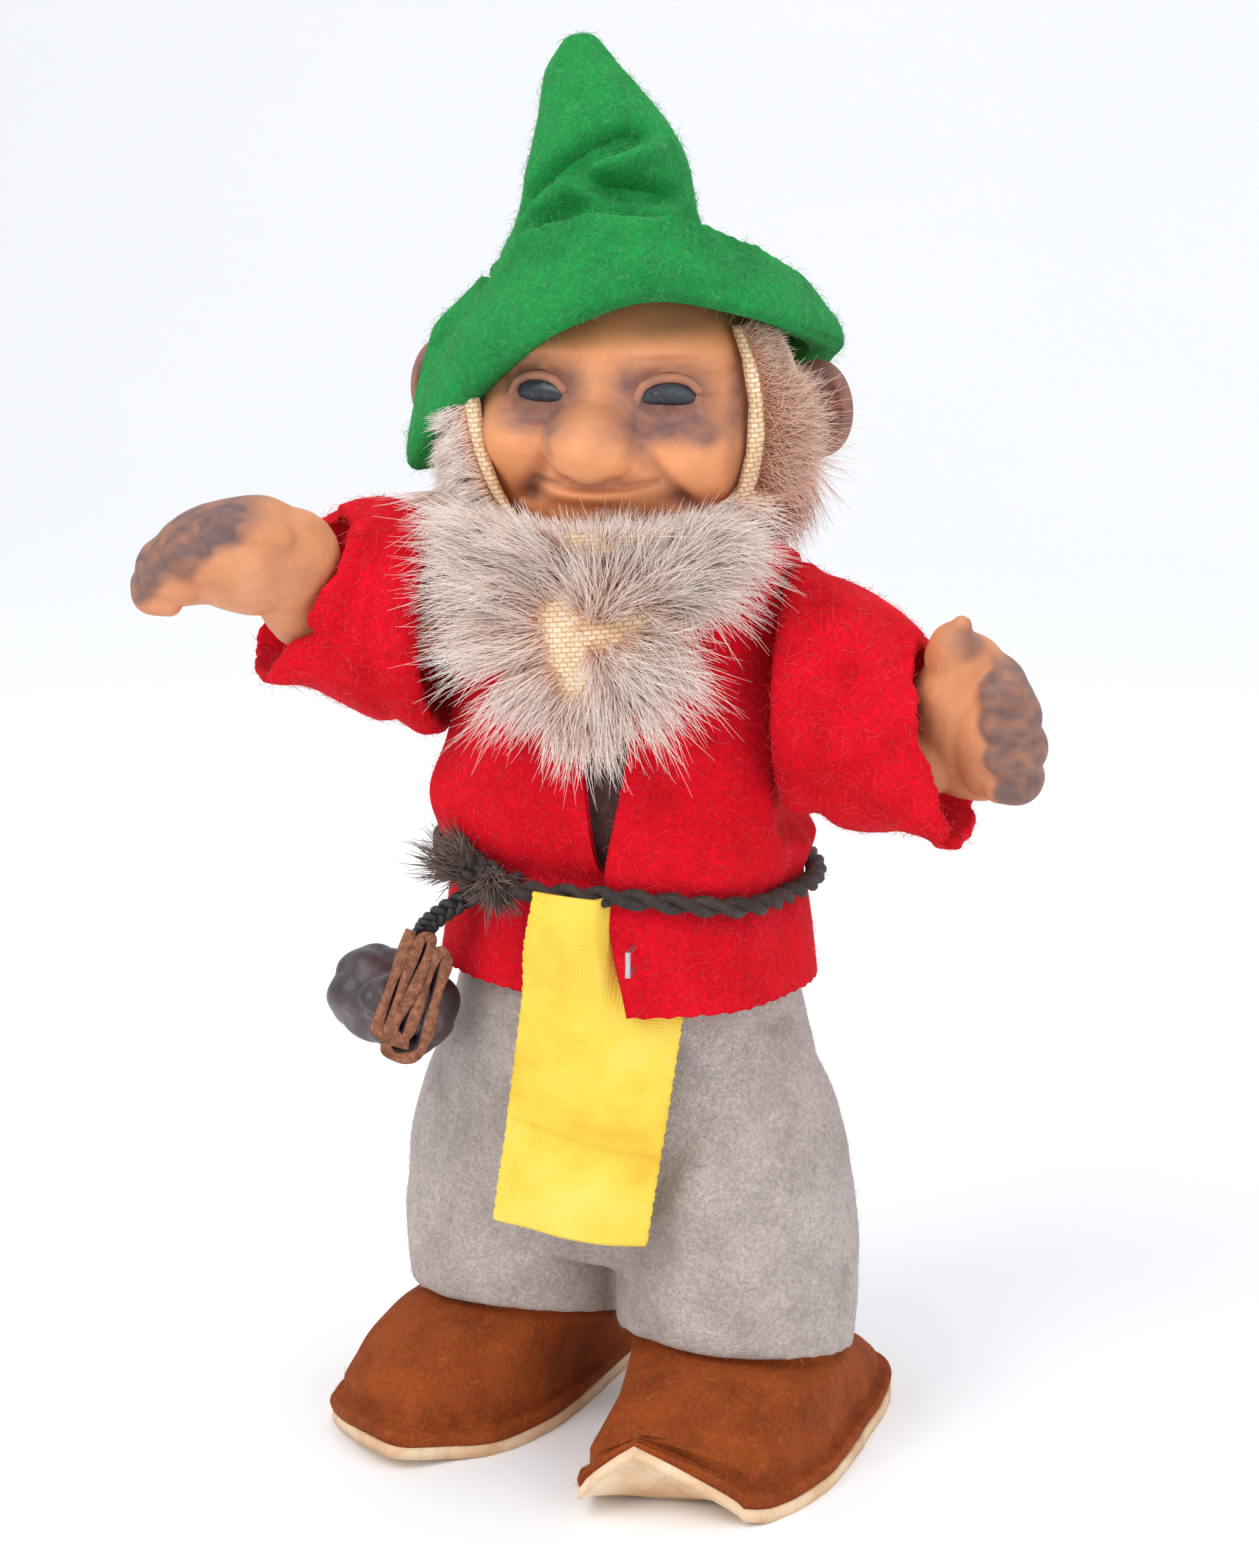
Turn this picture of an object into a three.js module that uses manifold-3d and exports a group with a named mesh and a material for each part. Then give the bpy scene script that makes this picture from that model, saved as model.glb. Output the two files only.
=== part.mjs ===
// Dwarf doll, about 13 cm tall: moulded vinyl head and arms on a stuffed felt body, dressed in felt.
// Frame: millimetres, +Z up, the face and jacket look along -Y, the doll's left hand is at +X.
// The neck turns about Z, both arms turn about X at the shoulders, and the pouch swings from the belt.
import * as THREE from "three";
import { mergeVertices } from "three/addons/utils/BufferGeometryUtils.js";
import Module from "manifold-3d";

const wasm = await Module();
wasm.setup();

// Cloth, board and clearances
const FELT = 1.2; // thickness of the jacket, hat and trouser felt
const SKIN = 1.0; // thickness of the body felt
const VINYL = 1.4; // wall of the moulded head
const FIT = 0.35; // gap between pieces that lie on each other
const EASE = 0.5; // gap between a fixed piece and one that turns on it

// Body, measured at the jacket's outer face
const HEM_Z = 45;
const BELT_Z = 55.4;
const NECK_Z = 87.6;
const HEM_WIDTH = 36;
const HEM_DEPTH = 33.5;
const WAIST_WIDTH = 34;
const WAIST_DEPTH = 32;
const CHEST_WIDTH = 34;
const CHEST_DEPTH = 31.5;
const COLLAR_WIDTH = 21;
const COLLAR_DEPTH = 20;
const ARMHOLE_INSET = 1.8; // the jacket's sides are pressed flat by this much where the sleeves turn
const ARMHOLE_X = CHEST_WIDTH / 2 - ARMHOLE_INSET;
const ARMHOLE_FOOT_Z = BELT_Z + 6.1;

// Head and hat
const NECK_GAP = 0.4; // between the jacket's collar and the head's foot
const HEAD_FOOT_Z = NECK_Z + NECK_GAP;
const JAW_DROP = 10.5; // from the head's middle down to its foot
const HEAD_Z = HEAD_FOOT_Z + JAW_DROP;
const HEAD_WIDTH = 30.4;
const HEAD_DEPTH = 30.4;
const HEAD_HEIGHT = 29;
const HEAD_TURN = 3; // degrees that the face looks to its left at rest
const NECK_BORE = 14; // diameter of the opening in the head's foot
const EAR_HEIGHT = 9.6;
const HAT_CUFF = 6.6; // height of the turned-up brim

// Arms
const SHOULDER_DROP = 8.6; // from the collar down to the shoulder pins
const SHOULDER_Z = NECK_Z - SHOULDER_DROP;
const SLEEVE_ROOT_X = ARMHOLE_X + EASE;
const SLEEVE_LENGTH = 15.4;
const SLEEVE_ROOT_DIAMETER = 23;
const CUFF_DIAMETER = 20;
const RIGHT_ARM_RAISE = 85; // degrees from hanging down towards the front
const LEFT_ARM_RAISE = 25;

// Legs and shoes
const LEG_TWIST = -17; // the hips stand turned under the jacket
const LEG_SPACING = 23.4;
const LEG_DIAMETER = 22.8;
const LEG_HEM_Z = 7.6; // at the back; the hem rides up over the shoe in front
const LEG_HEM_RISE = 4.8;
const TROUSER_TOP_Z = 52;
const SHOE_TURN = { left: 5, right: -2 }; // degrees from the hips' direction
const SHOE_POINT = { left: -6.8, right: 0 }; // how far each toe's point lies from the shoe's middle line
const SHOE_SPREAD = 2.6; // how far each shoe stands out from under its leg
const SHOE_LENGTH = 46;
const SHOE_WIDTH = 22;
const TOE_LIFT = 3.2;
const SOLE = 1.2;

// Belt, tag and pouch
const CORD_DIAMETER = 2;
const TAG_WIDTH = 15;
const TAG_LENGTH = 33.5;
const TAG_THICKNESS = 0.4;
const FLAP_LIFT = FELT + TAG_THICKNESS + 3 * FIT; // how far the lapped front stands off the one under it
const POUCH_DIAMETER = 10.5;
const THONG_DIAMETER = 1.8;

// Joint hardware
const PIN_DIAMETER = 1.6;
const DISC_THICKNESS = 1.4;
const SHOULDER_DISC_DIAMETER = 8;
const NECK_DISC_DIAMETER = 8.8;
const WASHER_THICKNESS = 0.5;
const WASHER_DIAMETER = 5;
const PIN_HEAD_DIAMETER = 3.6;
const PIN_HEAD_THICKNESS = 0.9;

// Staple through the lapped front and the tag
const STAPLE_WIRE = 0.5;
const STAPLE_X = 4.6;
const STAPLE_Z = [50.6, 52.6];

const rad = THREE.MathUtils.degToRad;
const TURN = 2 * Math.PI;
const mix = (a, b, t) => a + (b - a) * t;
const smooth = (from, to, v) => {
  const t = THREE.MathUtils.clamp((v - from) / (to - from), 0, 1);
  return t * t * (3 - 2 * t);
};

// Value of a smooth curve through [position, value, value, ...] stations
function along(stations, at) {
  const last = stations.length - 1;
  let k = 0;
  while (k < last - 1 && stations[k + 1][0] < at) k += 1;
  const b = stations[k];
  const c = stations[k + 1];
  const a = stations[Math.max(k - 1, 0)];
  const d = stations[Math.min(k + 2, last)];
  const t = THREE.MathUtils.clamp((at - b[0]) / (c[0] - b[0]), 0, 1);
  const slope = (p, q, i) => (q[i] - p[i]) / (q[0] - p[0]) * (c[0] - b[0]);
  return b.slice(1).map((_, j) => {
    const i = j + 1;
    const m0 = slope(a, c, i);
    const m1 = slope(b, d, i);
    const u = 1 - t;
    return b[i] * (1 + 2 * t) * u * u + m0 * t * u * u + c[i] * t * t * (3 - 2 * t) - m1 * t * t * u;
  });
}

// A closed mesh from points and triangles, faces turned outwards
function closedMesh(points, triangles) {
  let volume = 0;
  const v = points.map((p) => new THREE.Vector3(...p));
  for (const [a, b, c] of triangles) volume += v[a].dot(new THREE.Vector3().crossVectors(v[b], v[c]));
  const facing = volume < 0 ? triangles.map(([a, b, c]) => [a, c, b]) : triangles;
  const geometry = new THREE.BufferGeometry();
  geometry.setAttribute("position", new THREE.Float32BufferAttribute(points.flat(), 3));
  geometry.setIndex(facing.flat());
  return geometry;
}

function bridge(triangles, a, b, n, around = true) {
  for (let i = 0; i < (around ? n : n - 1); i += 1) {
    const j = (i + 1) % n;
    triangles.push([a + i, a + j, b + j], [a + i, b + j, b + i]);
  }
}

// Rings of equal length joined in order: ends are closed by a fan, or joined to each other for a tube wall
function loft(rings, joined = false) {
  const n = rings[0].length;
  const points = rings.flat();
  const triangles = [];
  for (let k = 0; k + 1 < rings.length; k += 1) bridge(triangles, k * n, (k + 1) * n, n);
  if (joined) {
    bridge(triangles, (rings.length - 1) * n, 0, n);
  } else {
    for (const [k, flip] of [[0, true], [rings.length - 1, false]]) {
      const ring = rings[k];
      const middle = [0, 1, 2].map((axis) => ring.reduce((sum, p) => sum + p[axis], 0) / n);
      points.push(middle);
      for (let i = 0; i < n; i += 1) {
        const pair = [k * n + i, k * n + ((i + 1) % n)];
        if (flip) pair.reverse();
        triangles.push([...pair, points.length - 1]);
      }
    }
  }
  return closedMesh(points, triangles);
}

// A sheet with thickness, from two grids of points: its outer and its inner face
function sheet(outer, inner) {
  const rows = outer.length;
  const n = outer[0].length;
  const points = [...outer.flat(), ...inner.flat()];
  const triangles = [];
  const back = rows * n;
  for (let k = 0; k + 1 < rows; k += 1) {
    bridge(triangles, k * n, (k + 1) * n, n, false);
    bridge(triangles, back + (k + 1) * n, back + k * n, n, false);
    for (const [i, flip] of [[0, false], [n - 1, true]]) {
      const [a, b] = flip ? [(k + 1) * n + i, k * n + i] : [k * n + i, (k + 1) * n + i];
      triangles.push([a, b, back + b], [a, back + b, back + a]);
    }
  }
  for (const [row, flip] of [[0, true], [rows - 1, false]]) {
    for (let i = 0; i + 1 < n; i += 1) {
      const [a, b] = flip ? [row * n + i + 1, row * n + i] : [row * n + i, row * n + i + 1];
      triangles.push([a, b, back + b], [a, back + b, back + a]);
    }
  }
  return closedMesh(points, triangles);
}

const range = (n) => [...Array(n).keys()];
const ringOf = (n, point) => range(n).map((i) => point(i / n * TURN, i));

// Booleans on closed meshes
function solid(geometry) {
  const bare = geometry.clone();
  bare.deleteAttribute("normal");
  bare.deleteAttribute("uv");
  const merged = mergeVertices(bare, 1e-4);
  const mesh = new wasm.Mesh({
    numProp: 3,
    vertProperties: new Float32Array(merged.attributes.position.array),
    triVerts: new Uint32Array(merged.index.array),
  });
  return new wasm.Manifold(mesh);
}

function geometryOf(manifold) {
  const mesh = manifold.getMesh();
  const geometry = new THREE.BufferGeometry();
  geometry.setAttribute("position", new THREE.BufferAttribute(mesh.vertProperties, 3));
  geometry.setIndex(new THREE.BufferAttribute(mesh.triVerts, 1));
  return geometry;
}

const joinAll = (parts) => geometryOf(parts.map(solid).reduce((a, b) => a.add(b)));
const cutAll = (part, tools) => geometryOf(tools.map(solid).reduce((a, b) => a.subtract(b), solid(part)));

function ellipsoid(centre, radii, sides = 14, rows = 9) {
  return new THREE.SphereGeometry(1, sides, rows).scale(...radii).translate(...centre);
}

// A round bar between two points, for pins, holes and discs
function bar(from, to, radius, sides = 12) {
  const a = new THREE.Vector3(...from);
  const b = new THREE.Vector3(...to);
  const geometry = new THREE.CylinderGeometry(radius, radius, a.distanceTo(b), sides);
  const way = b.clone().sub(a).normalize();
  const turn = new THREE.Quaternion().setFromUnitVectors(new THREE.Vector3(0, 1, 0), way);
  return geometry.applyQuaternion(turn).translate(...a.add(b).multiplyScalar(0.5).toArray());
}

// A limb that swells and tapers: [x, y, z, radius] stations with round ends
function limb(stations, sides = 10) {
  const points = stations.map((s) => new THREE.Vector3(s[0], s[1], s[2]));
  const rings = [];
  const heading = (k) => points[Math.min(k + 1, points.length - 1)].clone()
    .sub(points[Math.max(k - 1, 0)]).normalize();
  const ring = (centre, way, radius) => {
    const side = new THREE.Vector3(0, 0.28, 0.96).cross(way).normalize();
    const up = way.clone().cross(side);
    return ringOf(sides, (angle) => centre.clone().addScaledVector(side, Math.cos(angle) * radius)
      .addScaledVector(up, Math.sin(angle) * radius).toArray());
  };
  const cap = (k, sign) => [0.35, 0.8].map((share) => {
    const reach = sign * stations[k][3] * Math.sqrt(1 - share * share);
    return ring(points[k].clone().addScaledVector(heading(k), reach), heading(k), stations[k][3] * share);
  });
  rings.push(...cap(0, -1));
  points.forEach((p, k) => rings.push(ring(p, heading(k), stations[k][3])));
  rings.push(...cap(points.length - 1, 1).reverse());
  return loft(rings);
}

// Pieces by name, with the colour, roughness and metalness of what they are made of
const FINISHES = {
  vinyl: ["#c98a63", 0.62, 0],
  greenFelt: ["#1f7a33", 0.95, 0],
  redFelt: ["#b9091c", 0.95, 0],
  greyFelt: ["#a39c96", 0.95, 0],
  brownFelt: ["#7c3f18", 0.95, 0],
  shirtFelt: ["#55403c", 0.95, 0],
  mohair: ["#cfbfb2", 0.9, 0],
  stuffing: ["#d9c7a2", 1, 0],
  card: ["#dcb488", 0.85, 0],
  board: ["#7d5a3a", 0.85, 0],
  steel: ["#b9bcc0", 0.35, 1],
  cord: ["#3b2c27", 0.9, 0],
  leather: ["#39292b", 0.55, 0],
  linen: ["#f2d24c", 0.85, 0],
};

function piece(name, finish, geometry) {
  const [color, roughness, metalness] = FINISHES[finish];
  const mesh = new THREE.Mesh(geometry, new THREE.MeshStandardMaterial({ color, roughness, metalness }));
  mesh.name = name;
  return mesh;
}

const SKIRT_Z = HEM_Z + 5;
const LAPEL_Z = BELT_Z + 4.6;
const BREAST_Z = NECK_Z - 16.6;

// Cross-sections of the clothed body: half width and half depth by height
const JACKET_FORM = [
  [HEM_Z, HEM_WIDTH / 2, HEM_DEPTH / 2],
  [SKIRT_Z, mix(HEM_WIDTH, WAIST_WIDTH, 0.5) / 2, mix(HEM_DEPTH, WAIST_DEPTH, 0.6) / 2],
  [BELT_Z, WAIST_WIDTH / 2, WAIST_DEPTH / 2],
  [BELT_Z + 6.6, CHEST_WIDTH / 2 + 0.9, CHEST_DEPTH / 2 + 1],
  [NECK_Z - 15.6, CHEST_WIDTH / 2, CHEST_DEPTH / 2],
  [NECK_Z - 8.1, CHEST_WIDTH / 2 - 0.8, CHEST_DEPTH / 2 - 1.8],
  [NECK_Z - 3.4, CHEST_WIDTH / 2, CHEST_DEPTH / 2 - 3],
  [NECK_Z - 1, mix(COLLAR_WIDTH, CHEST_WIDTH, 0.4) / 2, mix(COLLAR_DEPTH, CHEST_DEPTH, 0.2) / 2],
  [NECK_Z, COLLAR_WIDTH / 2, COLLAR_DEPTH / 2],
];

// A point of the jacket: angle from the front, positive towards +X, height, and offset from its outer face
function jacketPoint(angle, z, offset = 0) {
  const [a, b] = along(JACKET_FORM, z);
  const flat = mix(a, ARMHOLE_X, smooth(ARMHOLE_FOOT_Z - 4, ARMHOLE_FOOT_Z, z));
  const x = (a + offset) * Math.sin(angle);
  const limit = Math.min(a, flat) + offset;
  return [THREE.MathUtils.clamp(x, -limit, limit), -(b + offset) * Math.cos(angle), z];
}

// The doll's left front laps over the right one below the belt and stands off it near its edge
function flapLift(angle, z) {
  const down = 1 - smooth(BELT_Z + 2, BELT_Z + 11, z);
  const edge = 1 - smooth(rad(38), rad(72), angle);
  return angle > -1 ? FLAP_LIFT * down * edge : 0;
}

// Angles of the two front edges, in degrees from the front, by height
const LEFT_FRONT = [[HEM_Z, 11.5], [BELT_Z, 6.5], [LAPEL_Z, 6], [BREAST_Z, 12], [NECK_Z, 17]];
const RIGHT_FRONT = [[HEM_Z, 15], [BELT_Z, 10], [LAPEL_Z, 2.2], [BREAST_Z, -3], [NECK_Z, -12]];

function jacket() {
  const columns = 33;
  const skirt = [HEM_Z, SKIRT_Z, BELT_Z, BELT_Z + 3, BELT_Z + 6.4];
  const levels = [...skirt, ...[20.6, 14.6, 8.6, 5.2, 2.8, 1, 0].map((down) => NECK_Z - down)];
  const face = (offset) => levels.map((z) => {
    const start = rad(along(LEFT_FRONT, z)[0]);
    const end = TURN + rad(along(RIGHT_FRONT, z)[0]);
    return range(columns).map((i) => {
      const angle = mix(start, end, i / (columns - 1));
      const lift = angle < Math.PI ? flapLift(angle, z) : 0;
      return jacketPoint(angle, z, offset + lift);
    });
  });
  const cloth = sheet(face(0), face(-FELT));
  const pinHole = bar([-20, 0, SHOULDER_Z], [20, 0, SHOULDER_Z], PIN_DIAMETER / 2 + FIT);
  return cutAll(cloth, [pinHole, ...stapleLegs(STAPLE_WIRE / 2 + FIT, 2)]);
}

// The staple's legs run along Y from behind the right front to before the left one
const STAPLE_FRONT_Y = -(HEM_DEPTH / 2 + FLAP_LIFT + 1.2);
const STAPLE_BACK_Y = -(HEM_DEPTH / 2 - FELT + 0.1);
const stapleLegs = (radius, spare = 0) => STAPLE_Z.map((z) => (
  bar([STAPLE_X, STAPLE_BACK_Y + spare, z], [STAPLE_X, STAPLE_FRONT_Y - spare, z], radius, 8)));

function staple() {
  const over = 0.2;
  const [low, high] = STAPLE_Z;
  const ends = [[STAPLE_X, STAPLE_FRONT_Y, low - over], [STAPLE_X, STAPLE_FRONT_Y, high + over]];
  return joinAll([bar(...ends, STAPLE_WIRE / 2, 8), ...stapleLegs(STAPLE_WIRE / 2)]);
}

// Stuffed body under the jacket, with the joint discs inside it
const TORSO_SIDES = 22;
const TORSO_TOP_Z = NECK_Z - 1.2;
const TORSO_SIDE_X = ARMHOLE_X - FELT - FIT;
const TORSO_DROPS = [17.6, 8.6, 4.2, 2.4, 1.6];
const TORSO_LEVELS = [HEM_Z, TROUSER_TOP_Z, LAPEL_Z, ...TORSO_DROPS.map((down) => NECK_Z - down)];

function torsoRing(z, inset, height = z) {
  const [a, b] = along(JACKET_FORM, Math.min(z + 1.6 * smooth(SHOULDER_Z - 3, SHOULDER_Z + 5, z), NECK_Z));
  const trousersRoom = (FELT + FIT + 0.2) * (1 - smooth(TROUSER_TOP_Z, TROUSER_TOP_Z + 6, z));
  const room = FELT + FIT + 0.5 + trousersRoom + inset;
  const side = TORSO_SIDE_X - inset;
  return ringOf(TORSO_SIDES, (angle) => [
    THREE.MathUtils.clamp((a - room) * Math.sin(angle), -side, side),
    -(b - room) * Math.cos(angle),
    height,
  ]);
}

// Inner faces lie lower than outer ones under the rounded top
const crowned = (z, wall) => z - wall * smooth(SHOULDER_Z + 1, SHOULDER_Z + 7, z);
const torsoCap = (inset, height) => torsoRing(TORSO_LEVELS.at(-1), inset, height);

function torsoSkin() {
  const outer = TORSO_LEVELS.map((z) => torsoRing(z, 0));
  const inner = TORSO_LEVELS.map((z) => torsoRing(z, SKIN, crowned(z, SKIN)));
  const crown = [torsoCap(3.2, TORSO_TOP_Z), torsoCap(3.2, TORSO_TOP_Z - SKIN)];
  const tube = loft([...outer, ...crown, ...inner.reverse()], true);
  const lid = loft([torsoCap(3.1, TORSO_TOP_Z), torsoCap(3.1, TORSO_TOP_Z - SKIN)]);
  const shoulderHole = bar([-20, 0, SHOULDER_Z], [20, 0, SHOULDER_Z], PIN_DIAMETER / 2 + FIT);
  const neckHole = bar([0, 0, SHOULDER_Z], [0, 0, NECK_Z + 2], PIN_DIAMETER / 2 + FIT);
  return cutAll(joinAll([tube, lid]), [shoulderHole, neckHole]);
}

// Each disc lies inside the skin, then a washer, then the turned-over end of the pin
const SHOULDER_DISC_X = TORSO_SIDE_X - SKIN - 2 * FIT;
const NECK_DISC_Z = TORSO_TOP_Z - SKIN - FIT;
// From the disc's outer face to the pin's end
const PIN_DEPTH = DISC_THICKNESS + FIT + WASHER_THICKNESS + 1;

function torsoStuffing() {
  const inset = SKIN + 2 * FIT;
  const levels = TORSO_LEVELS.slice(1, 7).map((z) => torsoRing(z, inset, crowned(z, SKIN + FIT)));
  const body = loft([torsoRing(HEM_Z, inset, HEM_Z + 0.5), ...levels]);
  const pocket = (start, end, diameter) => bar(start, end, diameter / 2 + FIT, 20);
  const shoulderEnd = SHOULDER_DISC_X - PIN_DEPTH - FIT;
  const shoulders = [-1, 1].map((side) => pocket(
    [side * shoulderEnd, 0, SHOULDER_Z], [side * 20, 0, SHOULDER_Z], SHOULDER_DISC_DIAMETER));
  const neckRoom = pocket([0, 0, NECK_DISC_Z - PIN_DEPTH - FIT], [0, 0, NECK_Z], NECK_DISC_DIAMETER);
  return cutAll(body, [...shoulders, neckRoom]);
}

// Vinyl head: a ball of the given size with the face modelled on it
// Each feature: x, z on the face, width, height, rise (negative for a hollow)
const FACE = [
  [0, -1, 11, 9.5, 1.1], // the face stands forward of the ball
  [0, -1.7, 2.5, 2.2, 4.6], // nose tip
  [0, 1.6, 1.5, 3.4, 1.8], // nose bridge
  [-2.9, -2.4, 1.7, 1.5, 1.7], // nostril wings
  [2.9, -2.4, 1.7, 1.5, 1.7],
  [-8.4, -3.4, 3.6, 3.2, 2.0], // cheeks
  [8.4, -3.4, 3.6, 3.2, 2.0],
  [-6.1, 3.5, 2.9, 1.9, -1.9], // eye sockets
  [6.1, 3.5, 2.9, 1.9, -1.9],
  [-5.8, 7.2, 4.6, 1.7, 0.9], // brows
  [5.8, 7.2, 4.6, 1.7, 0.9],
  [0, -5.7, 4.4, 0.8, -1.0], // mouth line
  [0, -7.6, 3.0, 1.3, 1.0], // lower lip
  [0, -10.4, 4.6, 2.4, 1.2], // chin
];

function headPoint(turn, lift) {
  const way = [Math.sin(turn) * Math.cos(lift), -Math.cos(turn) * Math.cos(lift), Math.sin(lift)];
  const size = [HEAD_WIDTH / 2, HEAD_DEPTH / 2, HEAD_HEIGHT / 2];
  const reach = 1 / Math.hypot(way[0] / size[0], way[1] / size[1], way[2] / size[2]);
  const p = way.map((w) => w * reach);
  if (p[1] < 0) {
    const front = smooth(0, 7, -p[1]);
    for (const [x, z, wide, high, rise] of FACE) {
      const near = Math.exp(-(((p[0] - x) / wide) ** 2) - ((p[2] - z) / high) ** 2);
      p[1] -= rise * near * front;
    }
  }
  return [p[0], p[1], p[2] + HEAD_Z];
}

function headShell() {
  const columns = 32;
  const jaw = Math.asin((HEAD_FOOT_Z + 0.6 - HEAD_Z) / (HEAD_HEIGHT / 2));
  // columns lie closer together on the face
  const turns = range(columns).map((i) => i / columns * TURN).map((t) => t - 0.45 * Math.sin(t));
  const rows = 17;
  const lifts = range(rows).map((k) => mix(rad(84), jaw, k / (rows - 1)));
  const outer = lifts.map((lift) => turns.map((t) => headPoint(t, lift)));
  const round = (radius, z) => turns.map((t) => [radius * Math.sin(t), -radius * Math.cos(t), z]);
  const foot = [
    round(NECK_BORE / 2 + 1.6, HEAD_FOOT_Z),
    round(NECK_BORE / 2, HEAD_FOOT_Z),
    round(NECK_BORE / 2, HEAD_FOOT_Z + DISC_THICKNESS + 0.2),
  ];
  const hollow = [HEAD_WIDTH / 2 - 2.6, HEAD_DEPTH / 2 - 3, HEAD_HEIGHT / 2 - VINYL];
  const hollowLifts = [-34, -16, 4, 26, 50, 76];
  const inner = hollowLifts.map((lift) => turns.map((t) => {
    const up = rad(lift);
    const r = [hollow[0] * Math.cos(up) * Math.sin(t), -hollow[1] * Math.cos(up) * Math.cos(t)];
    return [...r, HEAD_Z + hollow[2] * Math.sin(up)];
  }));
  const shell = loft([...outer, ...foot, ...inner]);
  const earX = HEAD_WIDTH / 2 + 2;
  const ears = [-1, 1].map((side) => (
    ellipsoid([side * earX, 1.6, HEAD_Z], [3.3, 2.1, EAR_HEIGHT / 2], 10, 8)));
  const hollows = [-1, 1].map((side) => (
    ellipsoid([side * (earX + 0.9), -0.7, HEAD_Z + 0.4], [1.6, 1.5, 0.3 * EAR_HEIGHT], 8, 6)));
  return cutAll(joinAll([shell, ...ears]), hollows);
}

// Hat: turned-up brim, crown and slumped tip. Angles from the front, positive towards the doll's left
// Angle, height of the brim's lower edge above the head's middle, how far the brim stands out from the head
const BRIM = [
  [-180, -5.5, 3.4], [-150, -3, 3.4], [-122, 1.5, 3.4], [-105, 5.7, 3.8], [-90, 4.9, 4.2],
  [-70, -5.3, 5], [-50, -1, 4.2], [-32, 2.1, 3.9], [-5, 8.5, 1.9], [20, 10.8, 1.4], [51, 9.5, 2.2],
  [80, 6.9, 3.4], [104, 5.7, 3.8], [125, 1.5, 3.4], [150, -3, 3.4], [180, -5.5, 3.4],
];
// Crown rings: height above the head's top, centre x and y, radius
const HORN = [
  [-0.5, -2.2, 0.5, 9.6],
  [3, -2.1, 0.8, 8.3],
  [7, -2.3, 1.2, 7.5],
  [11, -2.9, 1.8, 6.2],
  [15.4, -4.6, 2.5, 3.9],
  [18.2, -5.1, 2.9, 2.0],
];
const HEAD_TOP_Z = HEAD_Z + HEAD_HEIGHT / 2;
const HORN_WALL = FELT + 0.6;

function hornAt(rise, angle, inset) {
  const [x, y, r] = along(HORN, rise);
  return [x + (r - inset) * Math.sin(angle), y - (r - inset) * Math.cos(angle), HEAD_TOP_Z + rise];
}

// Wad of wool that holds the tip of the hat up
function hatWadding() {
  return loft([0.6, 4, 8, 11].map((rise) => ringOf(16, (angle) => hornAt(rise, angle, HORN_WALL + FIT))));
}

function hat() {
  const sides = 30;
  const ring = (point) => ringOf(sides, (angle) => {
    const a = angle > Math.PI ? angle - TURN : angle;
    const [low, out] = along(BRIM, THREE.MathUtils.radToDeg(a));
    return point(a, [HEAD_Z + low, HEAD_WIDTH / 2 + out]);
  });
  const at = (a, r, z) => [r * Math.sin(a), -r * Math.cos(a), z];
  const crown = (share, inset) => ring((a, [low, r]) => {
    const from = at(a, r - 1.6 - inset, low + HAT_CUFF - 0.8);
    const to = hornAt(HORN[0][0], a, inset);
    const bulge = Math.sin(share * Math.PI) * 1.9;
    return [
      mix(from[0], to[0], share) + bulge * Math.sin(a),
      mix(from[1], to[1], share) - bulge * Math.cos(a),
      mix(from[2], to[2], share) + bulge * 0.6,
    ];
  });
  const outer = [
    ring((a, [low, r]) => at(a, r - 1.5, low)),
    ring((a, [low, r]) => at(a, r - 0.2, low + 0.5)),
    ring((a, [low, r]) => at(a, r + 0.1, low + HAT_CUFF * 0.5)),
    ring((a, [low, r]) => at(a, r - 0.3, low + HAT_CUFF - 0.2)),
    ring((a, [low, r]) => at(a, r - 1.2, low + HAT_CUFF)),
    ring((a, [low, r]) => at(a, r - 1.6, low + HAT_CUFF - 0.8)),
    crown(0.34, 0),
    crown(0.68, 0),
    ...HORN.map(([rise]) => ring((a) => hornAt(rise, a, 0))),
  ];
  const inner = [
    ...[11.6, 8, 4, 0].map((rise) => ring((a) => hornAt(rise, a, HORN_WALL))),
    crown(0.62, FELT),
    crown(0.2, FELT),
    ring((a, [low, r]) => at(a, r - 1.6 - FELT, low + HAT_CUFF * 0.5)),
    ring((a, [low, r]) => at(a, r - 1.6 - FELT, low + 0.2)),
  ];
  return loft([...inner, ...outer]);
}

// Beard: a plush band under the jaw with a wedge hanging before the chest
function plush(columns, rows, spanAt, inner, outer, bottom, top) {
  const face = (radius) => range(rows).map((k) => {
    const share = k / (rows - 1);
    return range(columns).map((i) => {
      const side = mix(-1, 1, i / (columns - 1));
      const z = mix(bottom(side), top(side), share);
      const angle = spanAt(side, share);
      const r = radius(side, z);
      return [r * Math.sin(angle), -r * Math.cos(angle), z];
    });
  });
  return sheet(face(outer), face(inner));
}

const BEARD_TIP_Z = HEAD_Z - 27;
const BEARD_THICKNESS = 3.2;
const BEARD_TIP_THICKNESS = 1.2;
const BEARD_TOP = -7.7; // under the lower lip, from the head's middle
const BEARD_SPAN = 74; // degrees to either side

const headReach = (z) => (
  HEAD_WIDTH / 2 * Math.sqrt(Math.max(0, 1 - ((z - HEAD_Z) / (HEAD_HEIGHT / 2)) ** 2)));

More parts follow.
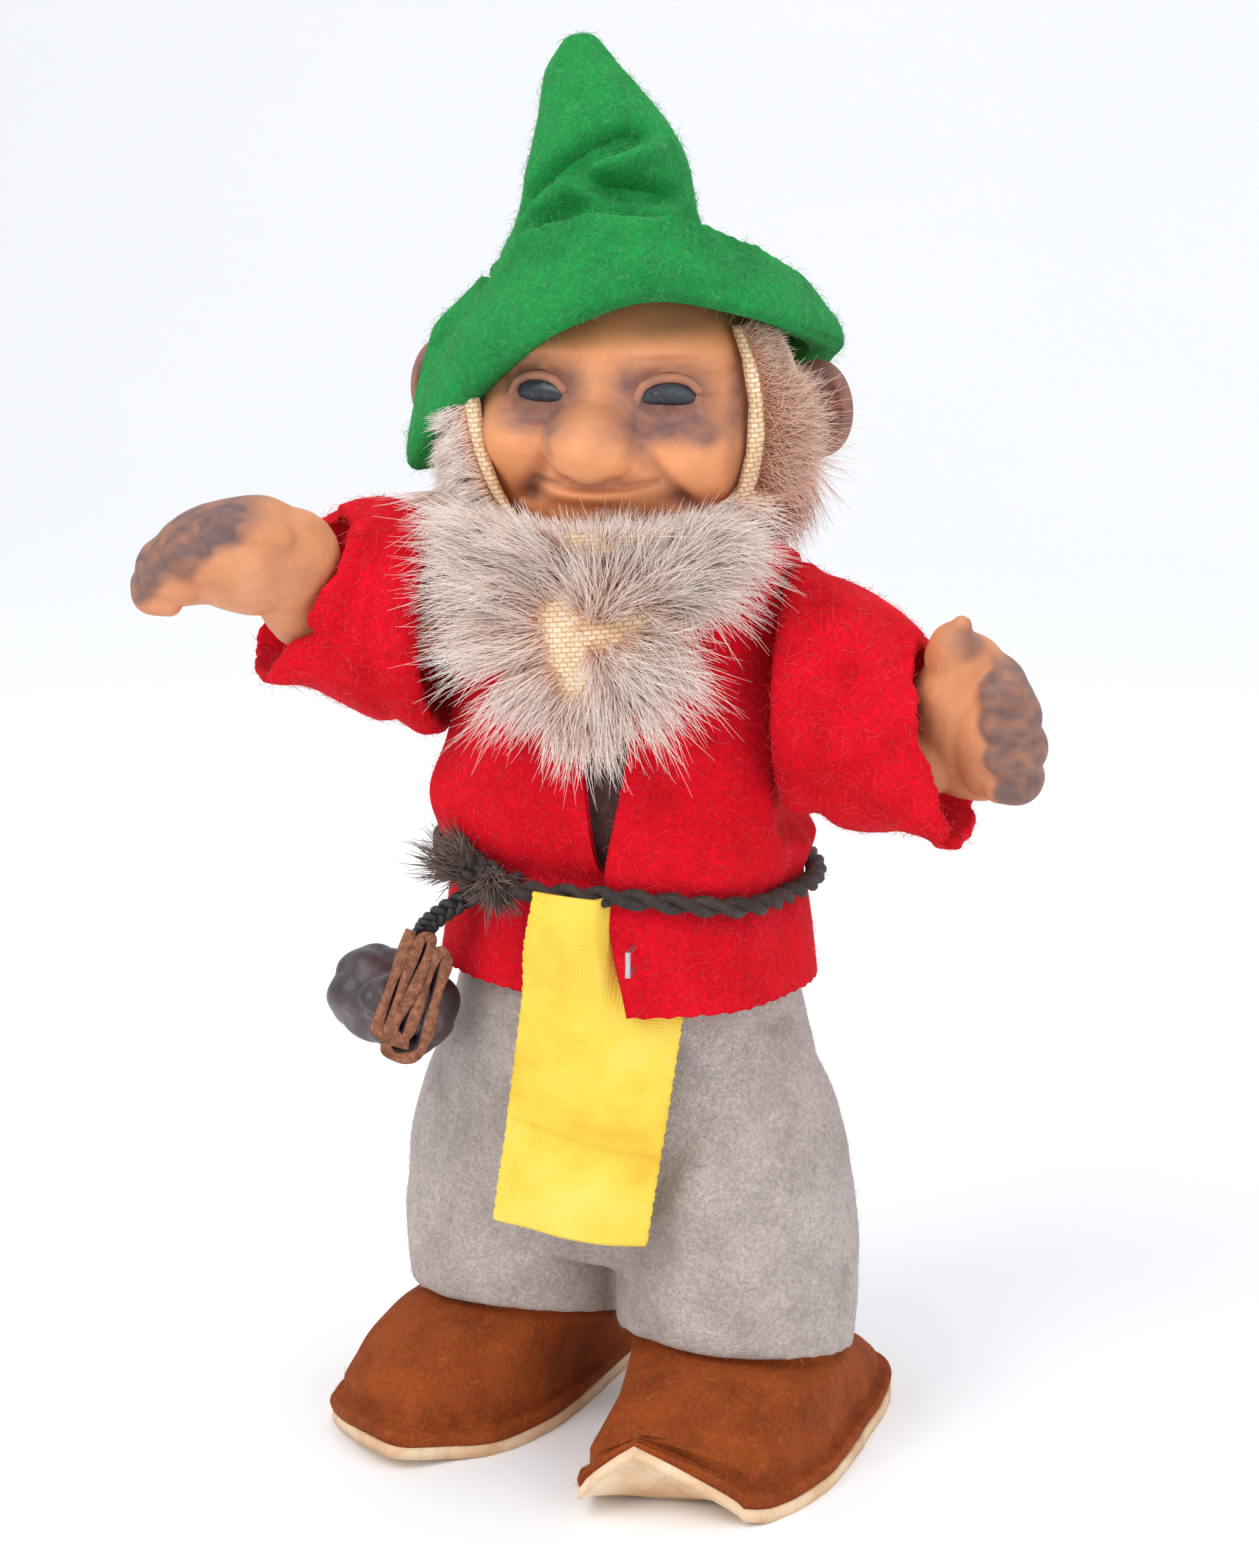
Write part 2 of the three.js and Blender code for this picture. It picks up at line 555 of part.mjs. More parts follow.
function beard() {
  const bottom = (side) => mix(BEARD_TIP_Z, HEAD_Z + BEARD_TOP + 0.6, smooth(0, 0.62, Math.abs(side)));
  const sideburn = (side) => (side > 0 ? 11.4 * smooth(0.7, 0.95, side) : -1.6 * smooth(0.6, 0.8, -side));
  const top = (side) => HEAD_Z + BEARD_TOP + 3.4 * smooth(0.1, 0.7, Math.abs(side)) + sideburn(side);
  const span = (side) => rad(BEARD_SPAN * side);
  const clear = (z) => (
    mix(CHEST_DEPTH / 2 + 1.5, COLLAR_DEPTH / 2 + 2.6, smooth(BEARD_TIP_Z + 7, NECK_Z + 1.4, z)));
  const chin = (side) => 3.6 * (1 - smooth(0.1, 0.6, Math.abs(side)));
  const inner = (side, z) => Math.max(clear(z), headReach(z) + 1.3 + chin(side));
  const thick = (side, z) => {
    const full = smooth(BEARD_TIP_Z, BEARD_TIP_Z + 8.5, z);
    return mix(BEARD_TIP_THICKNESS, BEARD_THICKNESS, full) - 1.4 * Math.abs(side);
  };
  const outer = (side, z) => inner(side, z) + thick(side, z);
  return plush(21, 8, span, inner, outer, bottom, top);
}

function backHair() {
  const span = (side) => Math.PI + rad(72) * side;
  const bottom = () => HEAD_FOOT_Z + 0.8;
  const top = (side) => HEAD_Z - 6.2 + 2.2 * side * side;
  const inner = (side, z) => headReach(z) + 0.6;
  const outer = (side, z) => inner(side, z) + 2.6;
  return plush(15, 4, span, inner, outer, bottom, top);
}

// Arms: built hanging for one side, then raised about the shoulder axis
// u is away from the body, r down the hanging arm, w to the front
const armPoint = (u, r, w) => [SLEEVE_ROOT_X + u, -w, SHOULDER_Z - r];

// The doll's right arm and sleeve mirror the left ones
function forSide(side, geometry) {
  if (side > 0) return geometry;
  const at = geometry.attributes.position;
  const points = range(at.count).map((i) => [-at.getX(i), at.getY(i), at.getZ(i)]);
  const index = [...geometry.index.array];
  return closedMesh(points, range(index.length / 3).map((k) => index.slice(3 * k, 3 * k + 3)));
}

const CUFF_CENTRE = [SLEEVE_LENGTH, 11, 3.5];
const ROOT_CENTRE = [0, 5.6, 0.6];
const PIN_HEAD_U = 1.2; // the pin's head lies this deep in the arm
const PALM = [20.4, 11.2, 6];
const THUMB_WAY = [-0.12, -0.9, 0.42];
const PALM_WAY = [-0.1, 0.42, 0.9];

function arm() {
  const station = (u, r, w, radius) => [...armPoint(u, r, w), radius];
  const fromPalm = (out, up, ahead) => [out, 0, 0].map((along, k) => (
    PALM[k] + along + THUMB_WAY[k] * up + PALM_WAY[k] * ahead));
  const hand = (out, up, ahead, radius) => station(...fromPalm(out, up, ahead), radius);
  const upper = limb([
    station(3.3, 0.4, 0, 3.3), station(3.8, 5, 0.4, 4.1), station(6.5, 10.5, 1.4, 4.1),
    station(11.5, 13.4, 3, 3.5), station(15.5, 13.2, 4.6, 3.7),
  ], 8);
  const palm = limb([
    hand(-2.2, 3.2, -0.4, 3.4), hand(-0.2, 0.2, -0.6, 4.3), hand(1.0, -3.4, -0.4, 3.6),
  ], 10);
  const fingers = range(4).map((k) => {
    const up = mix(4.0, -5.6, k / 3);
    const out = [1.2, 2, 2.2, 1.2][k];
    return limb([
      hand(out - 1, up, -1.2, 2.0), hand(out + 2.8, up, 0.2, 2.0),
      hand(out + 3.2, up, 3.2, 1.9), hand(out + 0.8, up, 4.6, 1.6),
    ], 6);
  });
  const thumb = limb([hand(-1.6, 4, 0.6, 2.2), hand(-0.2, 7.6, 1.4, 1.9), hand(0.2, 10.4, 2, 1.4)], 8);
  const curl = limb([hand(1.8, 3.6, 1.4, 2.2), hand(2.4, -0.8, 1.5, 2.4), hand(1.8, -5.2, 1.4, 2.2)], 8);
  const whole = joinAll([upper, palm, curl, ...fingers, thumb]);
  // flat seat against the jacket's side and a blind socket for the pin's head
  const x = (u) => SLEEVE_ROOT_X + u;
  const trim = bar([x(-6), 0, SHOULDER_Z], [x(0), 0, SHOULDER_Z], 9);
  const socketEnd = x(PIN_HEAD_U + PIN_HEAD_THICKNESS + FIT);
  const socket = bar([x(-1), 0, SHOULDER_Z], [socketEnd, 0, SHOULDER_Z], PIN_HEAD_DIAMETER / 2 + FIT);
  return cutAll(whole, [trim, socket]);
}

function sleeve() {
  const sides = 22;
  const levels = 5;
  const face = (inset) => range(levels).map((k) => {
    const share = k / (levels - 1);
    const centre = ROOT_CENTRE.map((c, axis) => mix(c, CUFF_CENTRE[axis], share));
    const radius = mix(SLEEVE_ROOT_DIAMETER, CUFF_DIAMETER, share) / 2 - inset;
    const slack = 1 + 0.05 * Math.sin(share * Math.PI);
    return ringOf(sides, (angle) => {
      const lean = share * share * 1.6 * Math.cos(angle);
      return armPoint(centre[0] - lean, centre[1] + Math.cos(angle) * radius * slack,
        centre[2] + Math.sin(angle) * radius * 0.94 * slack);
    });
  });
  return loft([...face(0), ...face(FELT).reverse()], true);
}

// Discs, washers and pins of the three disc joints, each strung along an axis: at(v) is the point at v
function holed(at, from, to, diameter) {
  const body = bar(at(from), at(to), diameter / 2, 20);
  return cutAll(body, [bar(at(from - 1), at(to + 1), PIN_DIAMETER / 2 + FIT)]);
}

// The disc's outer face is at the given place, the washer behind it, and the pin's head at its far end
function discJoint(word, at, face, head) {
  const washer = face - DISC_THICKNESS - FIT;
  const pin = joinAll([
    bar(at(face - PIN_DEPTH), at(head + 0.1), PIN_DIAMETER / 2),
    bar(at(head), at(head + PIN_HEAD_THICKNESS), PIN_HEAD_DIAMETER / 2),
  ]);
  const diameter = word === "neck" ? NECK_DISC_DIAMETER : SHOULDER_DISC_DIAMETER;
  return [
    piece(`${word}_disc`, "board", holed(at, face - DISC_THICKNESS, face, diameter)),
    piece(`${word}_washer`, "steel", holed(at, washer - WASHER_THICKNESS, washer, WASHER_DIAMETER)),
    piece(`${word}_pin`, "steel", pin),
  ];
}

const shoulderJoint = (side, word) => discJoint(
  `${word}_shoulder`, (v) => [side * v, 0, SHOULDER_Z], SHOULDER_DISC_X, SLEEVE_ROOT_X + PIN_HEAD_U);

const HEAD_DISC_Z = HEAD_FOOT_Z + 0.2;
const upright = (v) => [0, 0, v];
const headDisc = () => holed(upright, HEAD_DISC_Z, HEAD_DISC_Z + DISC_THICKNESS, NECK_BORE - 2 * FIT);

// Trousers: one felt garment over the hips and both legs, open at the waist and at the hems
const HIP_FORM = [
  [18, 18.6, 9.4],
  [30, 19.2, 12.6],
  [38, 18.0, 13.9],
  [45, 16.2, 14.4],
  [TROUSER_TOP_Z, 15.3, 14.4],
];
const LEG_FORM = [
  [LEG_HEM_Z, LEG_DIAMETER / 2],
  [16, LEG_DIAMETER / 2 + 0.2],
  [25, LEG_DIAMETER / 2],
  [34, LEG_DIAMETER / 2 - 2.2],
  [42, LEG_DIAMETER / 2 - 5.6],
];

function hipRing(z, inset, sides) {
  const [a, b] = along(HIP_FORM, z);
  const twist = rad(LEG_TWIST) * (1 - smooth(26, 44, z));
  return ringOf(sides, (angle) => {
    const x = (a - inset) * Math.sin(angle);
    const y = -(b - inset) * Math.cos(angle);
    return [x * Math.cos(twist) - y * Math.sin(twist), x * Math.sin(twist) + y * Math.cos(twist), z];
  });
}

function legCentre(side) {
  const out = side * LEG_SPACING / 2;
  return [out * Math.cos(rad(LEG_TWIST)), out * Math.sin(rad(LEG_TWIST))];
}

// The hem is highest in front, where it lies on the shoe
const hemZ = (angle) => LEG_HEM_Z + LEG_HEM_RISE * (1 + Math.cos(angle)) / 2;
const shoeTurn = (side) => rad(LEG_TWIST + (side > 0 ? SHOE_TURN.left : SHOE_TURN.right));

function legRing(side, z, inset, sides) {
  const [r] = along(LEG_FORM, z);
  const [cx, cy] = legCentre(side);
  const reach = r - inset;
  return ringOf(sides, (angle) => [cx + reach * Math.sin(angle), cy - reach * Math.cos(angle), z]);
}

function trousers() {
  const sides = 20;
  const hips = [18, 24, 30, 37, 45, TROUSER_TOP_Z];
  const legs = [LEG_HEM_Z, 16, 25, 34, 42];
  const hem = (side, inset, drop) => legRing(side, LEG_HEM_Z, inset, sides)
    .map(([x, y], i) => [x, y, hemZ(i / sides * TURN - shoeTurn(side)) - drop]);
  const leg = (side, inset, drop) => loft([
    hem(side, inset, drop), ...legs.slice(1).map((z) => legRing(side, z, inset, sides))]);
  const outer = [loft(hips.map((z) => hipRing(z, 0, 24))), ...[-1, 1].map((side) => leg(side, 0, 0))];
  const hollowHip = loft(hips.map((z, k) => {
    const height = k === 0 ? z + FELT : k === hips.length - 1 ? z + 1 : z;
    return hipRing(z, FELT, 24).map(([x, y]) => [x, y, height]);
  }));
  const hollowLegs = [-1, 1].map((side) => leg(side, FELT, 1));
  return cutAll(joinAll(outer), [hollowHip, ...hollowLegs]);
}

// Shoes, in their own frame with the toe along -Y
// Outline as shares of the shoe's width and length, from the heel round by +X to the toe's point and back
const SHOE_OUTLINE = [
  [0, 0.46], [0.25, 0.42], [0.4, 0.27], [0.45, 0.1], [0.49, -0.08], [0.49, -0.21], [0.43, -0.34],
  [0.29, -0.435], null,
  [-0.42, -0.38], [-0.52, -0.2], [-0.53, 0], [-0.49, 0.17], [-0.4, 0.32], [-0.22, 0.43],
];
const SHOE_SIDES = 2 * SHOE_OUTLINE.length;

function shoeOutline(point) {
  const loop = SHOE_OUTLINE.map((share) => {
    const [x, y] = share ? [share[0] * SHOE_WIDTH, share[1] * SHOE_LENGTH] : [point, -0.54 * SHOE_LENGTH];
    return new THREE.Vector3(x, y, 0);
  });
  const curve = new THREE.CatmullRomCurve3(loop, true, "centripetal");
  return curve.getPoints(SHOE_SIDES).slice(0, SHOE_SIDES).map((p) => [p.x, p.y]);
}

const toeLift = (y) => TOE_LIFT * smooth(-0.36, -0.54, y / SHOE_LENGTH);

// Points moved towards the middle of the leg, which stands a little to the inner side of the shoe
function towards([cx, cy], [x, y], reach) {
  const length = Math.hypot(x - cx, y - cy);
  const keep = reach(length) / length;
  return [cx + (x - cx) * keep, cy + (y - cy) * keep];
}

function sole(point) {
  const outline = shoeOutline(point);
  const ring = (z, inset) => outline.map((p) => {
    const [x, y] = towards([0, 0], p, (length) => length - inset);
    return [x, y, z + toeLift(y)];
  });
  return loft([ring(0, 7), ring(0, 0.2), ring(SOLE, 0), ring(SOLE, 7)]);
}

// Levels of the vamp: share of the way up to the trouser hem, inset, share of the way in to the ankle
const VAMP = [[0, 2, 0], [0.3, 1.9, 0.02], [0.6, 1.6, 0.2], [0.86, 1, 0.56]];
const SHOE_FOOT_Z = SOLE + FIT;
const ANKLE_RADIUS = LEG_DIAMETER / 2 - FELT - FIT;
const shoeCentre = (side) => [-side * SHOE_SPREAD, 0];

function vampRing(centre, outline, [share, inset, way], wall, drop = wall) {
  return outline.map((p) => {
    const hem = hemZ(Math.atan2(p[0] - centre[0], -p[1])) - 0.7;
    const reach = (length) => mix(length - inset, ANKLE_RADIUS, way) - wall;
    const [x, y] = towards(centre, p, reach);
    const z = mix(SHOE_FOOT_Z + 1.1, hem, share) - drop * share;
    return [x, y, z + toeLift(p[1]) * (1 - smooth(3, 9, z))];
  });
}

const footRing = (centre, outline, inset, z) => outline.map((p) => {
  const [x, y] = towards(centre, p, (length) => length - inset);
  return [x, y, z + toeLift(p[1])];
});

// Felt upper: a flange on the sole, a crease above it and a high vamp that runs up under the trouser hem
function shoeUpper(side, point) {
  const outline = shoeOutline(point);
  const centre = shoeCentre(side);
  const face = (wall) => [
    ...VAMP.map((row) => vampRing(centre, outline, row, wall)),
    vampRing(centre, outline, [1, 0, 1], wall),
    vampRing(centre, outline, [1, 0, 1], wall).map(([x, y, z]) => [x, y, z + 2.2]),
  ];
  const flange = [SHOE_FOOT_Z, SHOE_FOOT_Z + 1].map((z) => footRing(centre, outline, 0.4, z));
  const foot = footRing(centre, outline, 2 + FELT, SHOE_FOOT_Z);
  return loft([...flange, ...face(0), ...face(FELT).reverse(), foot], true);
}

// The filling of a leg and its foot: it packs the shoe and stands on the sole
function legStuffing(side, point) {
  const outline = shoeOutline(point);
  const centre = shoeCentre(side);
  const wall = FELT + 2 * FIT;
  const rings = [
    footRing(centre, outline, 2 + wall, SHOE_FOOT_Z + 0.1),
    ...[...VAMP.slice(1), [1, 0, 1]].map((row) => vampRing(centre, outline, row, wall, FELT)),
  ];
  const leg = [[15, 1.6], [17.6, 0], [25, 0], [33, 0.2], [40.6, 0.7]].map(([z, extra]) => (
    outline.map((p) => [...towards(centre, p, () => along(LEG_FORM, z)[0] - wall - extra), z])));
  return loft([...rings, ...leg]);
}

// Belt: one cord round the jacket, knotted at the doll's right front with two frayed ends
const KNOT_ANGLE = rad(-35);

function beltPoint(angle) {
  const lift = angle > -0.35 && angle < 1.2 ? Math.max(flapLift(Math.max(angle, 0), BELT_Z), 0) : 0;
  const over = Math.max(lift, (TAG_THICKNESS + TAG_REST) * (1 - smooth(0.2, 0.5, Math.abs(angle))));
  const p = jacketPoint(angle, BELT_Z, over + CORD_DIAMETER / 2 + FIT + 0.15);
  return [p[0], p[1], BELT_Z + 0.5 * Math.sin(angle * 2)];
}

function beltCord() {
  const steps = 32;
  const points = range(steps).map((i) => KNOT_ANGLE + i / steps * TURN)
    .map((angle) => new THREE.Vector3(...beltPoint(angle > Math.PI ? angle - TURN : angle)));
  const path = new THREE.CatmullRomCurve3(points, true);
  const r = CORD_DIAMETER / 2;
  const samples = path.getPoints(steps);
  const frames = samples.slice(0, -1).map((p, k) => {
    const next = samples[(k + 1) % (samples.length - 1)];
    const before = samples[(k + samples.length - 2) % (samples.length - 1)];
    const way = next.clone().sub(before).normalize();
    const side = new THREE.Vector3(0, 0, 1).cross(way).normalize();
    const up = way.clone().cross(side);
    const around = (a) => (
      p.clone().addScaledVector(side, r * Math.cos(a)).addScaledVector(up, r * Math.sin(a)));
    return ringOf(7, (a) => around(a).toArray());
  });
  const loop = loft(frames, true);
  const knot = beltPoint(KNOT_ANGLE);
  const out = [Math.sin(KNOT_ANGLE), -Math.cos(KNOT_ANGLE)];
  const round = [Math.cos(KNOT_ANGLE), Math.sin(KNOT_ANGLE)];
  const at = (go, ahead, up) => [
    knot[0] + out[0] * ahead + round[0] * go, knot[1] + out[1] * ahead + round[1] * go, knot[2] + up];
  const lump = ellipsoid(at(0, 0.9, 0), [2.0, 2.0, 2.1], 10, 7);
  const tail = (...stations) => limb(stations.map(([radius, ...place]) => [...at(...place), radius]), 8);
  const upperEnd = tail([1, -1, 1.2, 0.6], [1.5, -3.6, 1.8, 2.2], [1, -5.6, 2, 4]);
  const lowerEnd = tail([1, 1, 1.4, 0], [1.7, 3.2, 2.2, 0.1], [1.3, 4.6, 2.4, -1.2]);
  return joinAll([loop, lump, upperEnd, lowerEnd]);
}

// Tag: a linen strip held under the belt and between the two fronts
const TAG_TOP_Z = BELT_Z + 1.4;
const TAG_LEAN = 8; // degrees from upright, its foot to the doll's right
const TAG_MIDDLE_X = 0.4;
const TAG_REST = 2 * FIT; // how far the tag lies off the jacket's front

function tag() {
  const rows = 9;
  const columns = 7;
  const lean = rad(TAG_LEAN);
  const face = (depth) => range(rows).map((k) => {
    const down = k / (rows - 1) * TAG_LENGTH;
    return range(columns).map((i) => {
      const wide = mix(0.42, 1, smooth(0, 6, down));
      const across = mix(-TAG_WIDTH / 2, TAG_WIDTH / 2, i / (columns - 1)) * wide;
      const x = TAG_MIDDLE_X + across * Math.cos(lean) - down * Math.sin(lean) + 3.4 * smooth(0, 14, down);
      const z = TAG_TOP_Z - down * Math.cos(lean) - across * Math.sin(lean);
      const [a, b] = along(JACKET_FORM, Math.max(z, HEM_Z));
      const off = TAG_REST + depth;
      return [x, -(b + off) * Math.sqrt(1 - (x / (a + off)) ** 2), z];
    });
  });
  return cutAll(sheet(face(TAG_THICKNESS), face(0)), stapleLegs(STAPLE_WIRE / 2 + FIT, 2));
}

// Pouch: a disc of leather gathered into a ball, its raw edge folded to and fro at the mouth
const POUCH_CENTRE = [-21.6, -9.6, 43.2];
const FRILL_RUNS = 5;
const FRILL_PITCH = 1.5;
const FRILL_HEIGHT = 9.6;
const FRILL_WALL = 0.9;

function frill() {
  const line = range(FRILL_RUNS).flatMap((k) => {
    const x = (k - (FRILL_RUNS - 1) / 2) * FRILL_PITCH;
    const half = FRILL_HEIGHT / 2;
    const [from, to] = k % 2 ? [half - 1.2 * (k === 1), 1.6 - half] : [-half, half - 0.6 * k];
    return [from, mix(from, to, 0.5), to].map((y) => new THREE.Vector2(x, y));
  });
  const face = (sign) => line.map((p, i) => {
    const a = line[Math.max(i - 1, 0)];
    const b = line[Math.min(i + 1, line.length - 1)];
    const way = b.clone().sub(a).normalize();
    const q = p.clone().add(new THREE.Vector2(-way.y, way.x).multiplyScalar(sign * FRILL_WALL / 2));
    return [-2.2, 1.4].map((deep) => [q.x, q.y, deep]);
  });
  return sheet(face(1), face(-1)).rotateX(Math.PI / 2).rotateY(rad(14)).rotateZ(rad(20));
}

function pouch() {
  const r = POUCH_DIAMETER / 2;
  const [x, y, z] = POUCH_CENTRE;
  return joinAll([
    ellipsoid(POUCH_CENTRE, [r, r * 0.82, r * 0.86], 12, 8),
    ellipsoid([x + 2.4, y - 1.6, z - 0.8], [r * 0.8, r * 0.74, r * 0.8], 10, 7),
    frill().translate(x + 1.8, y - 4.8, z - 0.6),
  ]);
}

function pouchThong() {
  const knot = beltPoint(KNOT_ANGLE);
  const r = THONG_DIAMETER / 2;
  const start = [knot[0] - 1.7, knot[1] - 1.1, knot[2] - 3];
  const end = [POUCH_CENTRE[0] + 2.3, POUCH_CENTRE[1] - 2, POUCH_CENTRE[2] + POUCH_DIAMETER / 2 - 0.3];
  const bow = [-0.5, -0.9, 0.3];
  const middle = start.map((v, k) => mix(v, end[k], 0.5) + bow[k]);
  return limb([[...start, r], [...middle, r * 1.1], [...end, r]], 8);
}

// The doll, put together
const doll = new THREE.Group();

const legs = [[-1, "right"], [1, "left"]].map(([side, word]) => {
  const shoe = new THREE.Group();
  const [x, y] = legCentre(side);
  const turn = shoeTurn(side);
  const point = SHOE_POINT[word];
  shoe.add(
    piece(`${word}_sole`, "card", sole(point)),
    piece(`${word}_shoe_upper`, "brownFelt", shoeUpper(side, point)),
    piece(`${word}_leg_stuffing`, "stuffing", legStuffing(side, point)),
  );
  shoe.position.set(x + side * SHOE_SPREAD * Math.cos(turn), y + side * SHOE_SPREAD * Math.sin(turn), 0);
  shoe.rotation.z = turn;
  return shoe;
});
doll.add(...legs, piece("trousers", "greyFelt", trousers()));

doll.add(
  piece("torso_skin", "shirtFelt", torsoSkin()),
  piece("torso_stuffing", "stuffing", torsoStuffing()),
  piece("jacket", "redFelt", jacket()),
  piece("belt_cord", "cord", beltCord()),
  piece("hang_tag", "linen", tag()),
  piece("tag_staple", "steel", staple()),
  piece("pouch", "leather", pouch()),
  piece("pouch_thong", "cord", pouchThong()),
);

doll.add(...discJoint("neck", upright, NECK_DISC_Z, HEAD_DISC_Z + DISC_THICKNESS + FIT));
const head = new THREE.Group();
head.add(
  piece("head_shell", "vinyl", headShell()),
  piece("hat", "greenFelt", hat()),
  piece("hat_wadding", "stuffing", hatWadding()),
  piece("beard", "mohair", beard()),
  piece("back_hair", "mohair", backHair()),
  piece("head_disc", "board", headDisc()),
);
head.rotation.z = rad(HEAD_TURN);
doll.add(head);

for (const [side, word, raise] of [[-1, "right", RIGHT_ARM_RAISE], [1, "left", LEFT_ARM_RAISE]]) {
  const shoulder = new THREE.Group();
  const swung = new THREE.Group();
  swung.add(
    piece(`${word}_arm`, "vinyl", forSide(side, arm())),
    piece(`${word}_sleeve`, "redFelt", forSide(side, sleeve())),
  );
  swung.position.set(0, 0, -SHOULDER_Z);
  shoulder.add(swung);
  shoulder.position.set(0, 0, SHOULDER_Z);
  shoulder.rotation.x = -rad(raise);
  doll.add(shoulder, ...shoulderJoint(side, word));
}

// The origin is on the ground, under the middle of the doll's outline
const outline = new THREE.Box3().setFromObject(doll);
const middle = outline.getCenter(new THREE.Vector3());
doll.position.set(-middle.x, -middle.y, -outline.min.z);

export default doll;
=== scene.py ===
import math
import bpy
import numpy as np
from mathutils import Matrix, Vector, noise


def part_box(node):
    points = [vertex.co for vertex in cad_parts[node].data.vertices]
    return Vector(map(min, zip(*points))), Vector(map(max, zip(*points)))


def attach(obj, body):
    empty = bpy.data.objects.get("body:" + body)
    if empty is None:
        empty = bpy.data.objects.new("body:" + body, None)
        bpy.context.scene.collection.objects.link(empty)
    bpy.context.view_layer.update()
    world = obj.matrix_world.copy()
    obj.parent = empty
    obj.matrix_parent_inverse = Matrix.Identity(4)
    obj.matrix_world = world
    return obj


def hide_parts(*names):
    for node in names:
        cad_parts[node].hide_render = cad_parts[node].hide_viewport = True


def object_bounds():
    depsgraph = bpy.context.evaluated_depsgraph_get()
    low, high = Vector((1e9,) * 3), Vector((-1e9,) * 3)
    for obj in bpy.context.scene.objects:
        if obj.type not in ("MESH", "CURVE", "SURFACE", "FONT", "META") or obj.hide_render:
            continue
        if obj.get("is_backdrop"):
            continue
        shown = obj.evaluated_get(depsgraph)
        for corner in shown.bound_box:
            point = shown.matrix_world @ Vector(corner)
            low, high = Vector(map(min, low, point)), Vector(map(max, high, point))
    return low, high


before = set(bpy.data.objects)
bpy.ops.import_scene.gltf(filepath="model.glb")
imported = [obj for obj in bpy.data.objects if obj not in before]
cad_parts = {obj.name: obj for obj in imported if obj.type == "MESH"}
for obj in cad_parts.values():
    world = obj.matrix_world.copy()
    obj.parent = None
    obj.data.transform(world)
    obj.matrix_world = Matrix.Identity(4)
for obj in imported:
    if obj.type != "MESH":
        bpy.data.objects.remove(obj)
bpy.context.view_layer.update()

# Studio: a pale paper sweep under soft light from above and from both sides. The camera stands 34 cm
# away, a little above the doll and 13 degrees to the doll's left, as the photographer stood.
MM = 0.001
DISTANCE = 340 * MM
AZIMUTH = math.radians(13)
ELEVATION = math.radians(14)
FOCAL_PIXELS = 4960
LONG_SIDE = 2156
SENSOR = 36
pin_low, pin_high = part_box("neck_pin")
MIDDLE_Y = (pin_low.y + pin_high.y) / 2 / MM
TARGET = Vector((0, MIDDLE_Y, 63)) * MM

camera = bpy.data.objects.new("camera", bpy.data.cameras.new("camera"))
bpy.context.scene.collection.objects.link(camera)
back = Vector((
    math.sin(AZIMUTH) * math.cos(ELEVATION),
    -math.cos(AZIMUTH) * math.cos(ELEVATION),
    math.sin(ELEVATION),
))
camera.location = TARGET + back * DISTANCE
camera.rotation_mode = "QUATERNION"
camera.rotation_quaternion = (-back).to_track_quat("-Z", "Y")
camera.data.sensor_width = SENSOR
camera.data.lens = FOCAL_PIXELS / LONG_SIDE * SENSOR
camera.data.clip_start = 0.01
bpy.context.scene.camera = camera
bpy.context.scene.view_settings.view_transform = "Standard"


def add(tree, kind, settings=(), **inputs):
    """A shader node. Inputs are values or other nodes' sockets, and Input_1 is the socket numbered 1."""
    made = tree.nodes.new(kind)
    for key, value in dict(settings).items():
        setattr(made, key, value)
    for key, value in inputs.items():
        number = key.removeprefix("Input_")
        socket = made.inputs[int(number) if number.isdigit() else key.replace("_", " ")]
        if isinstance(value, bpy.types.NodeSocket):
            tree.links.new(value, socket)
        else:
            socket.default_value = value
    return made


def blank_tree(material):
    material.use_nodes = True
    tree = material.node_tree
    tree.nodes.clear()
    return tree


def lamp(name, place, power, width, colour):
    light = bpy.data.lights.new(name, "AREA")
    light.energy = power
    light.size = width
    light.color = colour
    obj = bpy.data.objects.new(name, light)
    obj.location = place
    obj.rotation_mode = "QUATERNION"
    obj.rotation_quaternion = (TARGET - Vector(place)).to_track_quat("-Z", "Y")
    bpy.context.scene.collection.objects.link(obj)


lamp("key", (-0.28, -0.42, 0.55), 2.2, 0.4, (1, 0.985, 0.96))
lamp("fill", (0.5, -0.35, 0.3), 0.95, 0.5, (0.95, 0.97, 1))
lamp("top", (0.05, 0.1, 0.6), 0.9, 0.5, (1, 1, 1))

world = bpy.data.worlds.new("studio")
bpy.context.scene.world = world
tree = blank_tree(world)
path = add(tree, "ShaderNodeLightPath")
pale = add(tree, "ShaderNodeMath", {"operation": "MAXIMUM"}, Input_0=path.outputs["Is Camera Ray"],
           Input_1=path.outputs["Is Glossy Ray"])
soft = add(tree, "ShaderNodeBackground", Color=(0.95, 0.97, 1, 1), Strength=0.75)
white = add(tree, "ShaderNodeBackground", Color=(0.95, 0.97, 1, 1), Strength=1.0)
both = add(tree, "ShaderNodeMixShader", Input_0=pale.outputs[0], Input_1=soft.outputs[0], Input_2=white.outputs[0])
add(tree, "ShaderNodeOutputWorld", Surface=both.outputs[0])


def mesh_object(name, points, faces, material):
    """A smooth-shaded mesh from points in millimetres about the doll's middle line."""
    mesh = bpy.data.meshes.new(name)
    placed = (np.asarray(points, float) + (0, MIDDLE_Y, 0)) * MM
    mesh.from_pydata(placed.tolist(), [], [list(map(int, f)) for f in faces])
    mesh.update()
    mesh.shade_smooth()
    mesh.materials.append(material)
    obj = bpy.data.objects.new(name, mesh)
    bpy.context.scene.collection.objects.link(obj)
    return obj


